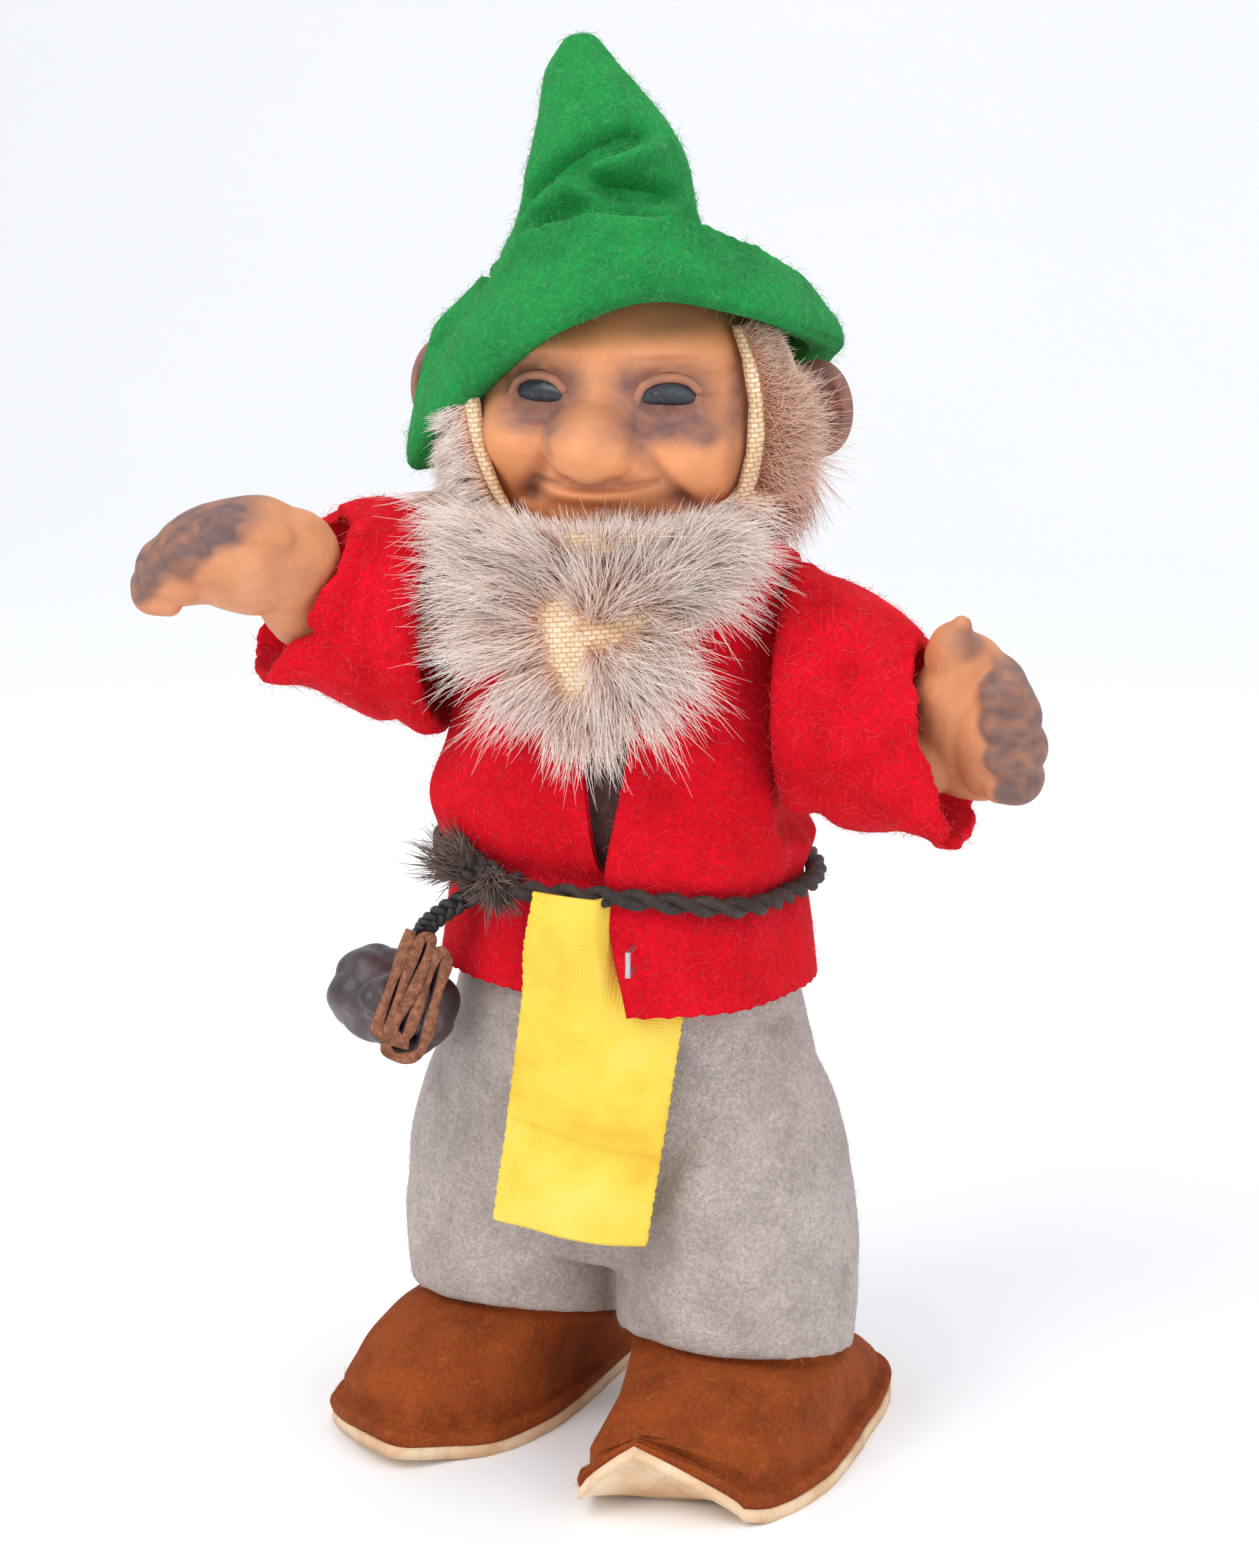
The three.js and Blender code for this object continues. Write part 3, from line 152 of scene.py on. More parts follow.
def grid_faces(rows, columns, start=0, around=False, flip=False):
    """Quads of a grid of points, which may close on itself along each row."""
    k, i = np.meshgrid(np.arange(rows - 1), np.arange(columns if around else columns - 1), indexing="ij")
    j = (i + 1) % columns
    quads = np.stack([k * columns + i, k * columns + j, (k + 1) * columns + j, (k + 1) * columns + i], -1)
    quads = quads.reshape(-1, 4) + start
    return quads[:, ::-1] if flip else quads


paper = bpy.data.materials.new("paper_sweep")
tree = blank_tree(paper)
where = add(tree, "ShaderNodeTexCoord").outputs["Object"]
grain = add(tree, "ShaderNodeTexNoise", Vector=where, Scale=6.0, Detail=2.0)
tone = add(tree, "ShaderNodeMix", {"data_type": "RGBA"}, Factor=grain.outputs["Fac"])
tone.inputs[6].default_value = (0.9, 0.91, 0.93, 1)
tone.inputs[7].default_value = (0.94, 0.945, 0.96, 1)
sheet_shader = add(tree, "ShaderNodeBsdfPrincipled", Base_Color=tone.outputs[2], Roughness=0.95)
add(tree, "ShaderNodeOutputMaterial", Surface=sheet_shader.outputs[0])

SWEEP_WIDTH = 2400
SWEEP_FRONT = -700
SWEEP_BACK = 420
SWEEP_RADIUS = 300
SWEEP_HEIGHT = 900
bend = np.linspace(0, math.pi / 2, 16)
profile = [(SWEEP_FRONT, 0)]
profile += [(SWEEP_BACK + SWEEP_RADIUS * math.sin(a), SWEEP_RADIUS * (1 - math.cos(a))) for a in bend]
profile += [(SWEEP_BACK + SWEEP_RADIUS, SWEEP_HEIGHT)]
points = [(side * SWEEP_WIDTH / 2, y, z) for y, z in profile for side in (-1, 1)]
sweep = mesh_object("sweep", points, grid_faces(len(profile), 2), paper)
sweep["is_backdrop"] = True


# Shoes, right and left: a cream leather sole cut to a broad pointed outline, and a rust felt upper of two
# halves sewn down the middle. The upper is glued to the sole along a flange with a crease inside it.
def along(stations, at):
    """Values of a smooth curve through (position, value, value, ...) stations."""
    table = np.array(stations, float)
    x, y = table[:, 0], table[:, 1:]
    last = len(x) - 1
    before = np.maximum(np.arange(last + 1) - 1, 0)
    after = np.minimum(np.arange(last + 1) + 1, last)
    slope = (y[after] - y[before]) / (x[after] - x[before])[:, None]
    at = np.asarray(at, float)
    k = np.clip(np.searchsorted(x, at) - 1, 0, last - 1)
    width = (x[k + 1] - x[k])[..., None]
    t = np.clip((at - x[k])[..., None] / width, 0, 1)
    u = 1 - t
    value = y[k] * (1 + 2 * t) * u * u + slope[k] * width * t * u * u
    value += y[k + 1] * t * t * (3 - 2 * t) - slope[k + 1] * width * t * t * u
    return np.moveaxis(value, -1, 0)


def smooth(start, end, value):
    t = np.clip((np.asarray(value, float) - start) / (end - start), 0, 1)
    return t * t * (3 - 2 * t)


def mix(a, b, t):
    return a + (b - a) * t


def bell(value, width):
    return np.exp(-(np.asarray(value, float) / width) ** 2)


def lumps(points, size, seed=0.0):
    """Smooth noise from -1 to 1 at points in millimetres, with lumps of the given size."""
    flat = np.asarray(points, float).reshape(-1, 3) / size + seed
    values = [noise.noise(Vector(p)) for p in flat]
    return np.array(values).reshape(np.shape(points)[:-1])


def ramp(tree, value, stops):
    """A colour ramp with (place, colour) stops."""
    made = add(tree, "ShaderNodeValToRGB", Fac=value)
    while len(made.color_ramp.elements) < len(stops):
        made.color_ramp.elements.new(0.5)
    for element, (place, colour) in zip(made.color_ramp.elements, stops):
        element.position = place
        element.color = colour if len(colour) == 4 else (*colour, 1)
    return made.outputs["Color"]


def blended(tree, factor, first, second, way="MIX"):
    """Two colours mixed, each a socket or three numbers."""
    made = add(tree, "ShaderNodeMix", {"data_type": "RGBA", "blend_type": way}, Factor=factor)
    for number, colour in ((6, first), (7, second)):
        if isinstance(colour, bpy.types.NodeSocket):
            tree.links.new(colour, made.inputs[number])
        else:
            made.inputs[number].default_value = (*colour, 1)
    return made.outputs[2]


def felt(name, colour, deep, lint, sheen=0.35, mottle=210.0):
    """Wool felt: clouded colour, fine grain, and curled paler fibres that lie on the surface."""
    material = bpy.data.materials.new(name)
    tree = blank_tree(material)
    where = add(tree, "ShaderNodeTexCoord").outputs["Object"]
    cloud = add(tree, "ShaderNodeTexNoise", Vector=where, Scale=mottle, Detail=4.0, Roughness=0.62)
    grain = add(tree, "ShaderNodeTexNoise", Vector=where, Scale=2300.0, Detail=3.0, Roughness=0.7)
    curls = add(tree, "ShaderNodeTexNoise", Vector=where, Scale=620.0, Detail=2.0, Distortion=2.6)
    fibre = ramp(tree, curls.outputs["Fac"], [(0.46, (0, 0, 0)), (0.5, (1, 1, 1)), (0.54, (0, 0, 0))])
    ground = ramp(tree, cloud.outputs["Fac"], [(0.3, deep), (0.58, colour)])
    speck = ramp(tree, grain.outputs["Fac"], [(0.3, (0.76, 0.76, 0.76)), (0.7, (1.14, 1.14, 1.14))])
    speckled = blended(tree, 1.0, ground, speck, "MULTIPLY")
    share = add(tree, "ShaderNodeMath", {"operation": "MULTIPLY"}, Input_0=fibre, Input_1=0.3)
    surface = blended(tree, share.outputs[0], speckled, lint)
    height = add(tree, "ShaderNodeMath", {"operation": "MULTIPLY_ADD"}, Input_0=fibre, Input_1=0.5,
                 Input_2=grain.outputs["Fac"])
    bump = add(tree, "ShaderNodeBump", Strength=0.7, Distance=0.00022, Height=height.outputs[0])
    cloth = add(tree, "ShaderNodeBsdfPrincipled", Base_Color=surface, Roughness=0.92, Sheen_Weight=sheen,
                Sheen_Roughness=0.45, Sheen_Tint=(*lint, 1), Specular_IOR_Level=0.15, Normal=bump.outputs[0])
    add(tree, "ShaderNodeOutputMaterial", Surface=cloth.outputs[0])
    return material


def fibres(name, colour, pale, roughness=0.8):
    """Loose fibres: each has a shade of its own, and pales towards its tip."""
    material = bpy.data.materials.new(name)
    tree = blank_tree(material)
    lot = add(tree, "ShaderNodeAttribute", {"attribute_name": "lot"})
    tip = add(tree, "ShaderNodeAttribute", {"attribute_name": "tip"})
    shade = blended(tree, lot.outputs["Fac"], colour, pale)
    tipped = blended(tree, tip.outputs["Fac"], colour, shade)
    hair = add(tree, "ShaderNodeBsdfPrincipled", Base_Color=tipped, Roughness=roughness, Sheen_Weight=0.2)
    add(tree, "ShaderNodeOutputMaterial", Surface=hair.outputs[0])
    return material


def strands(name, paths, radii, material, body, seed=1):
    """Tapered three-sided fibres as one mesh. Paths are in metres, (strand, step, xyz), radii (strand, step)."""
    count, steps = radii.shape
    way = np.gradient(paths, axis=1)
    way /= np.linalg.norm(way, axis=2, keepdims=True) + 1e-12
    rng = np.random.default_rng(seed)
    random_way = rng.normal(size=(count, 1, 3))
    side = np.cross(way, random_way)
    side /= np.linalg.norm(side, axis=2, keepdims=True) + 1e-12
    up = np.cross(way, side)
    angles = np.arange(3) / 3 * 2 * math.pi
    ring = side[:, :, None] * np.cos(angles)[:, None] + up[:, :, None] * np.sin(angles)[:, None]
    points = (paths[:, :, None] + ring * radii[:, :, None, None]).reshape(-1, 3)
    first = (np.arange(count) * steps * 3)[:, None, None]
    k, i = np.meshgrid(np.arange(steps - 1), np.arange(3), indexing="ij")
    j = (i + 1) % 3
    quads = np.stack([k * 3 + i, k * 3 + j, (k + 1) * 3 + j, (k + 1) * 3 + i], -1).reshape(1, -1, 4) + first
    ends = np.array([[2, 1, 0], [(steps - 1) * 3, (steps - 1) * 3 + 1, (steps - 1) * 3 + 2]])[None] + first
    loops = np.concatenate([quads.reshape(-1), ends.reshape(-1)]).astype(np.int32)
    sizes = np.concatenate([np.full(quads.size // 4, 4), np.full(ends.size // 3, 3)])
    starts = np.concatenate([[0], np.cumsum(sizes)[:-1]]).astype(np.int32)
    mesh = bpy.data.meshes.new(name)
    mesh.vertices.add(len(points))
    mesh.vertices.foreach_set("co", points.astype(np.float32).ravel())
    mesh.loops.add(len(loops))
    mesh.loops.foreach_set("vertex_index", loops)
    mesh.polygons.add(len(sizes))
    mesh.polygons.foreach_set("loop_start", starts)
    mesh.update(calc_edges=True)
    mesh.shade_smooth()
    tip = mesh.attributes.new("tip", "FLOAT", "POINT")
    share = np.broadcast_to(np.linspace(0, 1, steps)[None, :, None], (count, steps, 3))
    tip.data.foreach_set("value", share.astype(np.float32).ravel())
    lot = mesh.attributes.new("lot", "FLOAT", "POINT")
    each = np.broadcast_to(rng.random(count)[:, None, None], (count, steps, 3))
    lot.data.foreach_set("value", each.astype(np.float32).ravel())
    mesh.materials.append(material)
    obj = bpy.data.objects.new(name, mesh)
    bpy.context.scene.collection.objects.link(obj)
    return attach(obj, body)


def scatter(obj, count, rng, keep=None):
    """Random places on a mesh with their normals, in metres. keep tells which places in millimetres to keep."""
    mesh = obj.data
    mesh.calc_loop_triangles()
    corners = np.zeros(len(mesh.loop_triangles) * 3, np.int32)
    mesh.loop_triangles.foreach_get("vertices", corners)
    co = np.zeros(len(mesh.vertices) * 3, np.float32)
    mesh.vertices.foreach_get("co", co)
    a, b, c = (co.reshape(-1, 3).astype(float)[corners.reshape(-1, 3)[:, k]] for k in range(3))
    cross = np.cross(b - a, c - a)
    area = np.linalg.norm(cross, axis=1) + 1e-15
    if keep is not None:
        middle = (a + b + c) / 3 / MM - (0, MIDDLE_Y, 0)
        area = area * keep(middle, cross / area[:, None])
    chosen = rng.choice(len(area), size=count, p=area / area.sum())
    u, v = rng.random(count), rng.random(count)
    over = u + v > 1
    u[over], v[over] = 1 - u[over], 1 - v[over]
    place = a[chosen] + (b - a)[chosen] * u[:, None] + (c - a)[chosen] * v[:, None]
    normal = cross[chosen] / np.linalg.norm(cross[chosen], axis=1)[:, None]
    return place, normal


def unit(vectors):
    return vectors / (np.linalg.norm(vectors, axis=-1, keepdims=True) + 1e-12)


def fuzz(base, count, length, material, body, seed, lift=0.45, keep=None, thickness=0.035):
    """Short curled fibres that stand off a cloth. Lengths and thickness are in millimetres."""
    rng = np.random.default_rng(seed)
    place, normal = scatter(base, count, rng, keep)
    flat = unit(np.cross(normal, rng.normal(size=(count, 3))))
    turn = unit(np.cross(normal, flat)) * rng.uniform(-1, 1, (count, 1)) + normal * rng.uniform(-0.6, 0.2, (count, 1))
    reach = length * MM * rng.uniform(0.35, 1, (count, 1, 1))
    t = np.linspace(0, 1, 5)[None, :, None]
    rise = lift * rng.uniform(0.15, 1.6, (count, 1))
    start = unit(flat + normal * rise)
    paths = place[:, None] - normal[:, None] * 0.05 * MM + reach * (start[:, None] * t + turn[:, None] * t * t * 0.7)
    radii = thickness * MM / 2 * np.broadcast_to(np.array([1, 1, 0.9, 0.7, 0.35])[None], (count, 5))
    return strands(f"{base.name}_fuzz", paths, radii, material, body, seed)


SOLE = 1.2
SHOE_LENGTH = 46
SHOE_WIDTH = 22
TOE_LIFT = 3.2
LEG_TWIST = math.radians(-17)
LEG_SPACING = 23.4
SHOE_SPREAD = 2.6
SHOE_TURN = {"left": math.radians(5), "right": math.radians(0.5)}
SHOE_POINT = {"left": -6.8, "right": 1.4}
LEG_HEM_Z = 7.6
LEG_HEM_RISE = 4.8
LEG_RADIUS = 11.4
SIDES = {"right": -1, "left": 1}
OUTLINE = [
    (0, 0.46), (0.25, 0.42), (0.4, 0.27), (0.45, 0.1), (0.49, -0.08), (0.49, -0.21), (0.43, -0.34),
    (0.29, -0.435), None, (-0.42, -0.38), (-0.52, -0.2), (-0.53, 0), (-0.49, 0.17), (-0.4, 0.32), (-0.22, 0.43),
]
TOE = OUTLINE.index(None) / len(OUTLINE)


def shoe_outline(point, count):
    """The sole's edge from the heel round by the left side, as a closed smooth curve through its points."""
    knots = [(p[0] * SHOE_WIDTH, p[1] * SHOE_LENGTH) if p else (point, -0.54 * SHOE_LENGTH) for p in OUTLINE]
    knots = np.array([*knots[-3:], *knots, *knots[:4]])
    step = np.linalg.norm(np.diff(knots, axis=0), axis=1) ** 0.5
    where = np.concatenate([[0], np.cumsum(step)])
    lengths = where[3:3 + len(OUTLINE) + 1]
    at = np.interp(np.arange(count) / count * len(OUTLINE), np.arange(len(OUTLINE) + 1), lengths)
    return along(np.column_stack([where, knots]), at).T


def leg_centre(side):
    return np.array([math.cos(LEG_TWIST), math.sin(LEG_TWIST)]) * side * LEG_SPACING / 2


def shoe_place(word, points):
    """Points in the shoe's own frame, toe along -Y, moved to where the shoe stands."""
    side = SIDES[word]
    turn = LEG_TWIST + SHOE_TURN[word]
    x, y = leg_centre(side) + np.array([math.cos(turn), math.sin(turn)]) * side * SHOE_SPREAD
    out = np.array(points, float)
    px, py = out[..., 0].copy(), out[..., 1].copy()
    out[..., 0] = x + px * math.cos(turn) - py * math.sin(turn)
    out[..., 1] = y + px * math.sin(turn) + py * math.cos(turn)
    return out


def around_index(count, place):
    """Signed distance along a closed row of points from a place given as a share of it."""
    share = np.arange(count) / count - place
    return (share + 0.5) % 1 - 0.5


def toe_curl(word, outline):
    """How far the sole's edge is turned up round the toe, which on the left shoe curls right over."""
    away = around_index(len(outline), TOE)
    if word == "left":
        rise = np.clip(1 - np.where(away > -0.022, (away + 0.022) / 0.03, -(away + 0.022) / 0.05), 0, 1)
        return 4.6 * rise
    return 0.7 * bell(away - 0.01, 0.04)


def sole_top(word, outline, share):
    """Height of the sole's upper face by how far out it is, from its middle at 0 to its edge at 1."""
    lift = TOE_LIFT * smooth(-0.36, -0.54, outline[:, 1] / SHOE_LENGTH) * (0.6 if word == "left" else 0.25)
    return lift * smooth(0.66, 1.0, share) + toe_curl(word, outline) * smooth(0.76, 1.0, share)


def sole_mesh(word, material):
    count = 180
    outline = shoe_outline(SHOE_POINT[word], count)
    curl = toe_curl(word, outline)
    ragged = 0.12 * lumps(np.column_stack([outline, outline[:, 0] * 0]), 2.1, 4.0)
    ways = unit(outline)
    rings = []
    shares = [0.02, 0.3, 0.55, 0.72, 0.84, 0.92, 0.97, 1.0]
    for face, drop in ((1, 0.0), (0, SOLE)):
        order = shares if face else shares[::-1]
        for share in order:
            bent = smooth(0.66, 1.0, share)
            flat = outline * 0.995 * share + ways * (ragged * share)[:, None] - ways * (curl * 0.22 * bent)[:, None]
            z = sole_top(word, outline, share) + (0 if face else drop)
            rings.append(np.column_stack([flat, np.maximum(z, 0)]))
    rings = np.array(rings)
    faces = grid_faces(len(rings), count, around=True).tolist()
    points = rings.reshape(-1, 3)
    faces.append(list(range(count)))
    faces.append(list(range(len(points) - count, len(points)))[::-1])
    return mesh_object(f"{word}_sole_leather", shoe_place(word, points), faces, material)


card = bpy.data.materials.new("cream_sole_leather")
tree = blank_tree(card)
where = add(tree, "ShaderNodeTexCoord").outputs["Object"]
blotch = add(tree, "ShaderNodeTexNoise", Vector=where, Scale=160.0, Detail=5.0)
pores = add(tree, "ShaderNodeTexNoise", Vector=where, Scale=1900.0, Detail=3.0)
scuff = add(tree, "ShaderNodeTexVoronoi", {"feature": "DISTANCE_TO_EDGE"}, Vector=where, Scale=420.0)
tone = ramp(tree, blotch.outputs["Fac"], [(0.3, (0.58, 0.33, 0.18)), (0.5, (0.8, 0.55, 0.34)), (0.68, (0.88, 0.7, 0.5))])
worn = ramp(tree, scuff.outputs["Distance"], [(0.0, (0.62, 0.5, 0.42)), (0.09, (1, 1, 1))])
tone = blended(tree, 0.2, tone, worn, "MULTIPLY")
bump = add(tree, "ShaderNodeBump", Strength=0.35, Distance=0.00015, Height=pores.outputs["Fac"])
hide = add(tree, "ShaderNodeBsdfPrincipled", Base_Color=tone, Roughness=0.7, Normal=bump.outputs[0])
add(tree, "ShaderNodeOutputMaterial", Surface=hide.outputs[0])

shoe_felt = felt("rust_felt", (0.33, 0.066, 0.013), (0.2, 0.036, 0.008), (0.5, 0.15, 0.04), 0.15)
shoe_lint = fibres("rust_fibres", (0.3, 0.08, 0.018), (0.62, 0.3, 0.13))


def hem_height(angle):
    return LEG_HEM_Z + LEG_HEM_RISE * (1 + np.cos(angle)) / 2


def upper_mesh(word, material):
    """The upper from the flange on the sole, over the crease and the vamp, into the trouser leg."""
    count = 360
    outline = shoe_outline(SHOE_POINT[word], count)
    centre = np.array([-SIDES[word] * SHOE_SPREAD, 0])
    arms = outline - centre
    length = np.linalg.norm(arms, axis=1)
    ways = arms / length[:, None]
    curl = toe_curl(word, outline)
    hem = hem_height(np.arctan2(arms[:, 0], -outline[:, 1])) - 0.7
    ankle = LEG_RADIUS - 1.55
    away = around_index(count, TOE)
    seam = bell(away * length / 8, 0.07)
    front = smooth(0.16, 0.05, np.abs(away))
    # share of the way up, share of the way in to the ankle, inset from the edge
    rows = [
        (0.0, 0.0, 0.35), (0.06, 0.0, 0.15), (0.12, 0.0, 0.5), (0.125, 0.01, 1.0), (0.14, 0.02, 1.5),
        (0.22, 0.02, 1.6), (0.32, 0.03, 1.5), (0.45, 0.08, 1.8), (0.6, 0.2, 1.6), (0.75, 0.38, 1.3),
        (0.86, 0.56, 1.0), (0.94, 0.78, 0.5), (1.0, 0.97, 0.1), (1.1, 1.0, 0.0), (1.35, 1.0, 0.0),
    ]
    dense = along([(k, *row) for k, row in enumerate(rows)], np.linspace(0, len(rows) - 1, 58)).T
    rings = []
    floor = SOLE + 0.02
    for up, way_in, inset in dense:
        reach = mix(length - inset, ankle, way_in)
        pucker = 0.22 * np.sin(away * 210) * bell(up - 0.2, 0.12) * front
        groove = -0.8 * seam * smooth(0.1, 0.3, up) * front + 0.4 * bell(away * length / 8 - 0.13, 0.06) * front
        reach = reach + (pucker + groove) * (1 - smooth(0.9, 1.0, up)) - curl * 0.28 * (1 - smooth(0, 0.5, up))
        z = mix(floor, hem, up) if up > 0.15 else mix(floor, hem, 0.15) * up / 0.15 + floor * (1 - up / 0.15)
        z = z + sole_top(word, outline, np.clip(reach / length, 0, 1)) * (1 - smooth(3, 9, z))
        rings.append(np.column_stack([centre + ways * reach[:, None], z]))
    outer = np.array(rings)
    outer[..., :2] += (ways * 1.0)[None] * (0.22 * lumps(outer, 4.2, 9.0 + SIDES[word]))[..., None]
    inner = outer.copy()
    wall = 1.1
    inner[..., :2] -= ways[None] * wall
    inner[:, :, 2] -= 0.2
    inner[0, :, 2] = outer[0, :, 2] + 0.02
    points = np.concatenate([outer, inner[::-1]])
    rows_count = len(points)
    faces = grid_faces(rows_count, count, around=True).tolist()
    closing = grid_faces(2, count, around=True)
    last = (rows_count - 1) * count
    closing = np.where(closing < count, closing + last, closing - count)
    faces += closing.tolist()
    return mesh_object(f"{word}_upper_felt", shoe_place(word, points.reshape(-1, 3)), faces, material)


def not_under(points, normals):
    return ((normals[:, 2] > -0.4) & (points[:, 2] > 1.7)).astype(float)


for word in SIDES:
    leather = sole_mesh(word, card)
    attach(leather, "doll_body")
    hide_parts(f"{word}_sole")
    upper = upper_mesh(word, shoe_felt)
    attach(upper, "doll_body")
    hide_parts(f"{word}_shoe_upper")
    fuzz(upper, 3800, 1.4, shoe_lint, "doll_body", 11 + SIDES[word], keep=not_under)


# Trousers: one garment of grey mottled felt over the hips and both legs. It is stuffed full, so that it
# swells over the shoes, and its raw hems lie on the shoe uppers.
HIP_FORM = [(18, 18.6, 9.4), (30, 19.2, 12.6), (38, 18.0, 13.9), (45, 16.2, 14.4), (52, 15.3, 14.4)]
LEG_FORM = [(7.6, 11.4), (16, 11.6), (25, 11.4), (34, 9.2), (42, 5.8)]
HEM_WALL = 1.2


def applied(obj):
    """The object's mesh with its modifiers made real."""
    bpy.context.view_layer.update()
    graph = bpy.context.evaluated_depsgraph_get()
    mesh = bpy.data.meshes.new_from_object(obj.evaluated_get(graph))
    obj.modifiers.clear()
    obj.data = mesh
    return obj


def loft(rings):
    """Points and faces of closed rings joined in order and capped at both ends."""
    rings = np.asarray(rings, float)
    rows, count = rings.shape[:2]
    faces = grid_faces(rows, count, around=True).tolist()
    faces.append(list(range(count))[::-1])
    faces.append(list(range((rows - 1) * count, rows * count)))
    return rings.reshape(-1, 3), faces


def joined(parts):
    """Several (points, faces) as one."""
    points, faces, start = [], [], 0
    for part_points, part_faces in parts:
        points.append(part_points)
        faces += [[v + start for v in f] for f in part_faces]
        start += len(part_points)
    return np.concatenate(points), faces


def circle(count):
    return np.arange(count) / count * 2 * math.pi


def hip_ring(z, angle):
    a, b = along(HIP_FORM, z)
    twist = LEG_TWIST * (1 - smooth(26, 44, z))
    x, y = a * np.sin(angle), -b * np.cos(angle)
    turned = [x * np.cos(twist) - y * np.sin(twist), x * np.sin(twist) + y * np.cos(twist)]
    return np.column_stack([*turned, np.full(len(angle), z)])


def leg_ring(side, z, angle, inset=0.0):
    reach = along(LEG_FORM, z)[0] - inset
    cx, cy = leg_centre(side)
    return np.column_stack([cx + reach * np.sin(angle), cy - reach * np.cos(angle), np.full(len(angle), z)])


def hem_ring(word, inset, drop):
    angle = circle(96)
    ring = leg_ring(SIDES[word], LEG_HEM_Z, angle, inset)
    ring[:, 2] = hem_height(angle - LEG_TWIST - SHOE_TURN[word]) - drop
    return ring


grey_felt = felt("grey_felt", (0.53, 0.455, 0.42), (0.39, 0.33, 0.3), (0.7, 0.62, 0.57), 0.2, 150.0)
grey_lint = fibres("grey_fibres", (0.4, 0.34, 0.31), (0.75, 0.7, 0.66))
turn = circle(96)
parts = [loft([hip_ring(z, turn) for z in np.linspace(18, 52, 30)])]
for word, side in SIDES.items():
    levels = np.linspace(14, 42, 20)
    parts.append(loft([hem_ring(word, 0, 0), *[leg_ring(side, z, turn) for z in levels]]))
trousers = mesh_object("trousers_felt", *joined(parts), grey_felt)
remesh = trousers.modifiers.new("one_cloth", "REMESH")
remesh.mode = "VOXEL"
remesh.voxel_size = 0.48 * MM
softened = trousers.modifiers.new("soft_felt", "SMOOTH")
softened.factor = 0.6
softened.iterations = 7
applied(trousers)


def pushed(obj, shift):
    """Moves each point of a mesh along its normal by shift(points, normals), in millimetres."""
    count = len(obj.data.vertices)
    co = np.zeros(count * 3)
    obj.data.vertices.foreach_get("co", co)
    normals = np.zeros(count * 3, np.float32)
    obj.data.vertex_normals.foreach_get("vector", normals)
    normals = normals.reshape(-1, 3)
    points = co.reshape(-1, 3) / MM - (0, MIDDLE_Y, 0)
    points += normals * shift(points, normals)[:, None]
    obj.data.vertices.foreach_set("co", ((points + (0, MIDDLE_Y, 0)) * MM).astype(np.float32).ravel())
    obj.data.update()


def crease(points, start, end, width):
    """A bell across the line from start to end, which fades at both ends. All in millimetres."""
    a, b = np.array(start, float), np.array(end, float)
    t = np.clip((points - a) @ (b - a) / ((b - a) @ (b - a)), 0, 1)
    off = np.linalg.norm(points - a - t[:, None] * (b - a), axis=1)
    return bell(off, width) * (0.35 + 0.65 * np.sin(np.pi * np.clip(t, 0.02, 0.98)))


# creases of the stuffed cloth: start, end, width, depth
TROUSER_CREASES = [
    ((-15.5, -11.5, 44), (-17, -12.5, 36), 1.5, -0.7),
    ((-13.0, -13.0, 44), (-14, -14.5, 34), 1.1, 0.5),
    ((-2, -15, 30), (-1, -12.5, 16), 2.2, -1.0),
    ((-4.5, -15, 27), (-10, -16, 31), 1.6, -0.45),
    ((3, -14, 27), (8, -13.5, 33), 1.8, -0.45),
    ((-20.5, -8, 28), (-16, -15.5, 23), 2.0, -0.35),
    ((14.5, -10.5, 43), (17, -8.5, 37), 1.6, -0.5),
    ((9, -8, 15), (17, -6, 19), 2.4, -0.3),
    ((-4, 13.5, 30), (-2, 14, 16), 2.4, -0.8),
    ((-12, 14.5, 44), (-10, 16, 34), 1.6, -0.5),
    ((9, 14.5, 44), (11, 14, 35), 1.6, -0.5),
]


def trouser_folds(points, normals):
    shift = 0.38 * lumps(points, 9.0, 3.0) + 0.16 * lumps(points, 3.4, 7.0)
    for start, end, width, depth in TROUSER_CREASES:
        shift += depth * crease(points, start, end, width)
    return shift * smooth(9, 14, points[:, 2])


pushed(trousers, trouser_folds)
hollows = []
for word in SIDES:
    inner = [leg_ring(SIDES[word], z, turn, HEM_WALL) for z in (13.5, 15.5)]
    hollows.append(loft([hem_ring(word, HEM_WALL, 1.5), *inner]))
plug = mesh_object("hem_hollows", *joined(hollows), grey_felt)
cut = trousers.modifiers.new("hem_openings", "BOOLEAN")
cut.operation = "DIFFERENCE"
cut.object = plug
applied(trousers)
bpy.data.objects.remove(plug)
trousers.data.shade_smooth()
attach(trousers, "doll_body")
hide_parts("trousers")
fuzz(trousers, 5200, 1.3, grey_lint, "doll_body", 21, keep=not_under)


# Body skin: the stuffed body's own dark brown felt. Only a narrow wedge of it shows in the open front,
# between the beard and the belt.
JACKET_FORM = [
    (45, 18, 16.75), (50, 17.5, 16.3), (55.4, 17, 16), (62, 17.9, 16.75), (72, 17, 15.75),
    (79.5, 16.2, 13.95), (84.2, 17, 12.75), (86.6, 13.1, 11.15), (87.6, 10.5, 10),
]
NECK_Z = 87.6
BELT_Z = 55.4
HEM_Z = 45
FELT = 1.2
SKIN = 1.0
ARMHOLE_X = 15.2

shirt_felt = felt("body_felt", (0.16, 0.085, 0.078), (0.07, 0.035, 0.033), (0.36, 0.25, 0.23), 0.3)
shirt_lint = fibres("body_fibres", (0.14, 0.08, 0.075), (0.4, 0.3, 0.28))


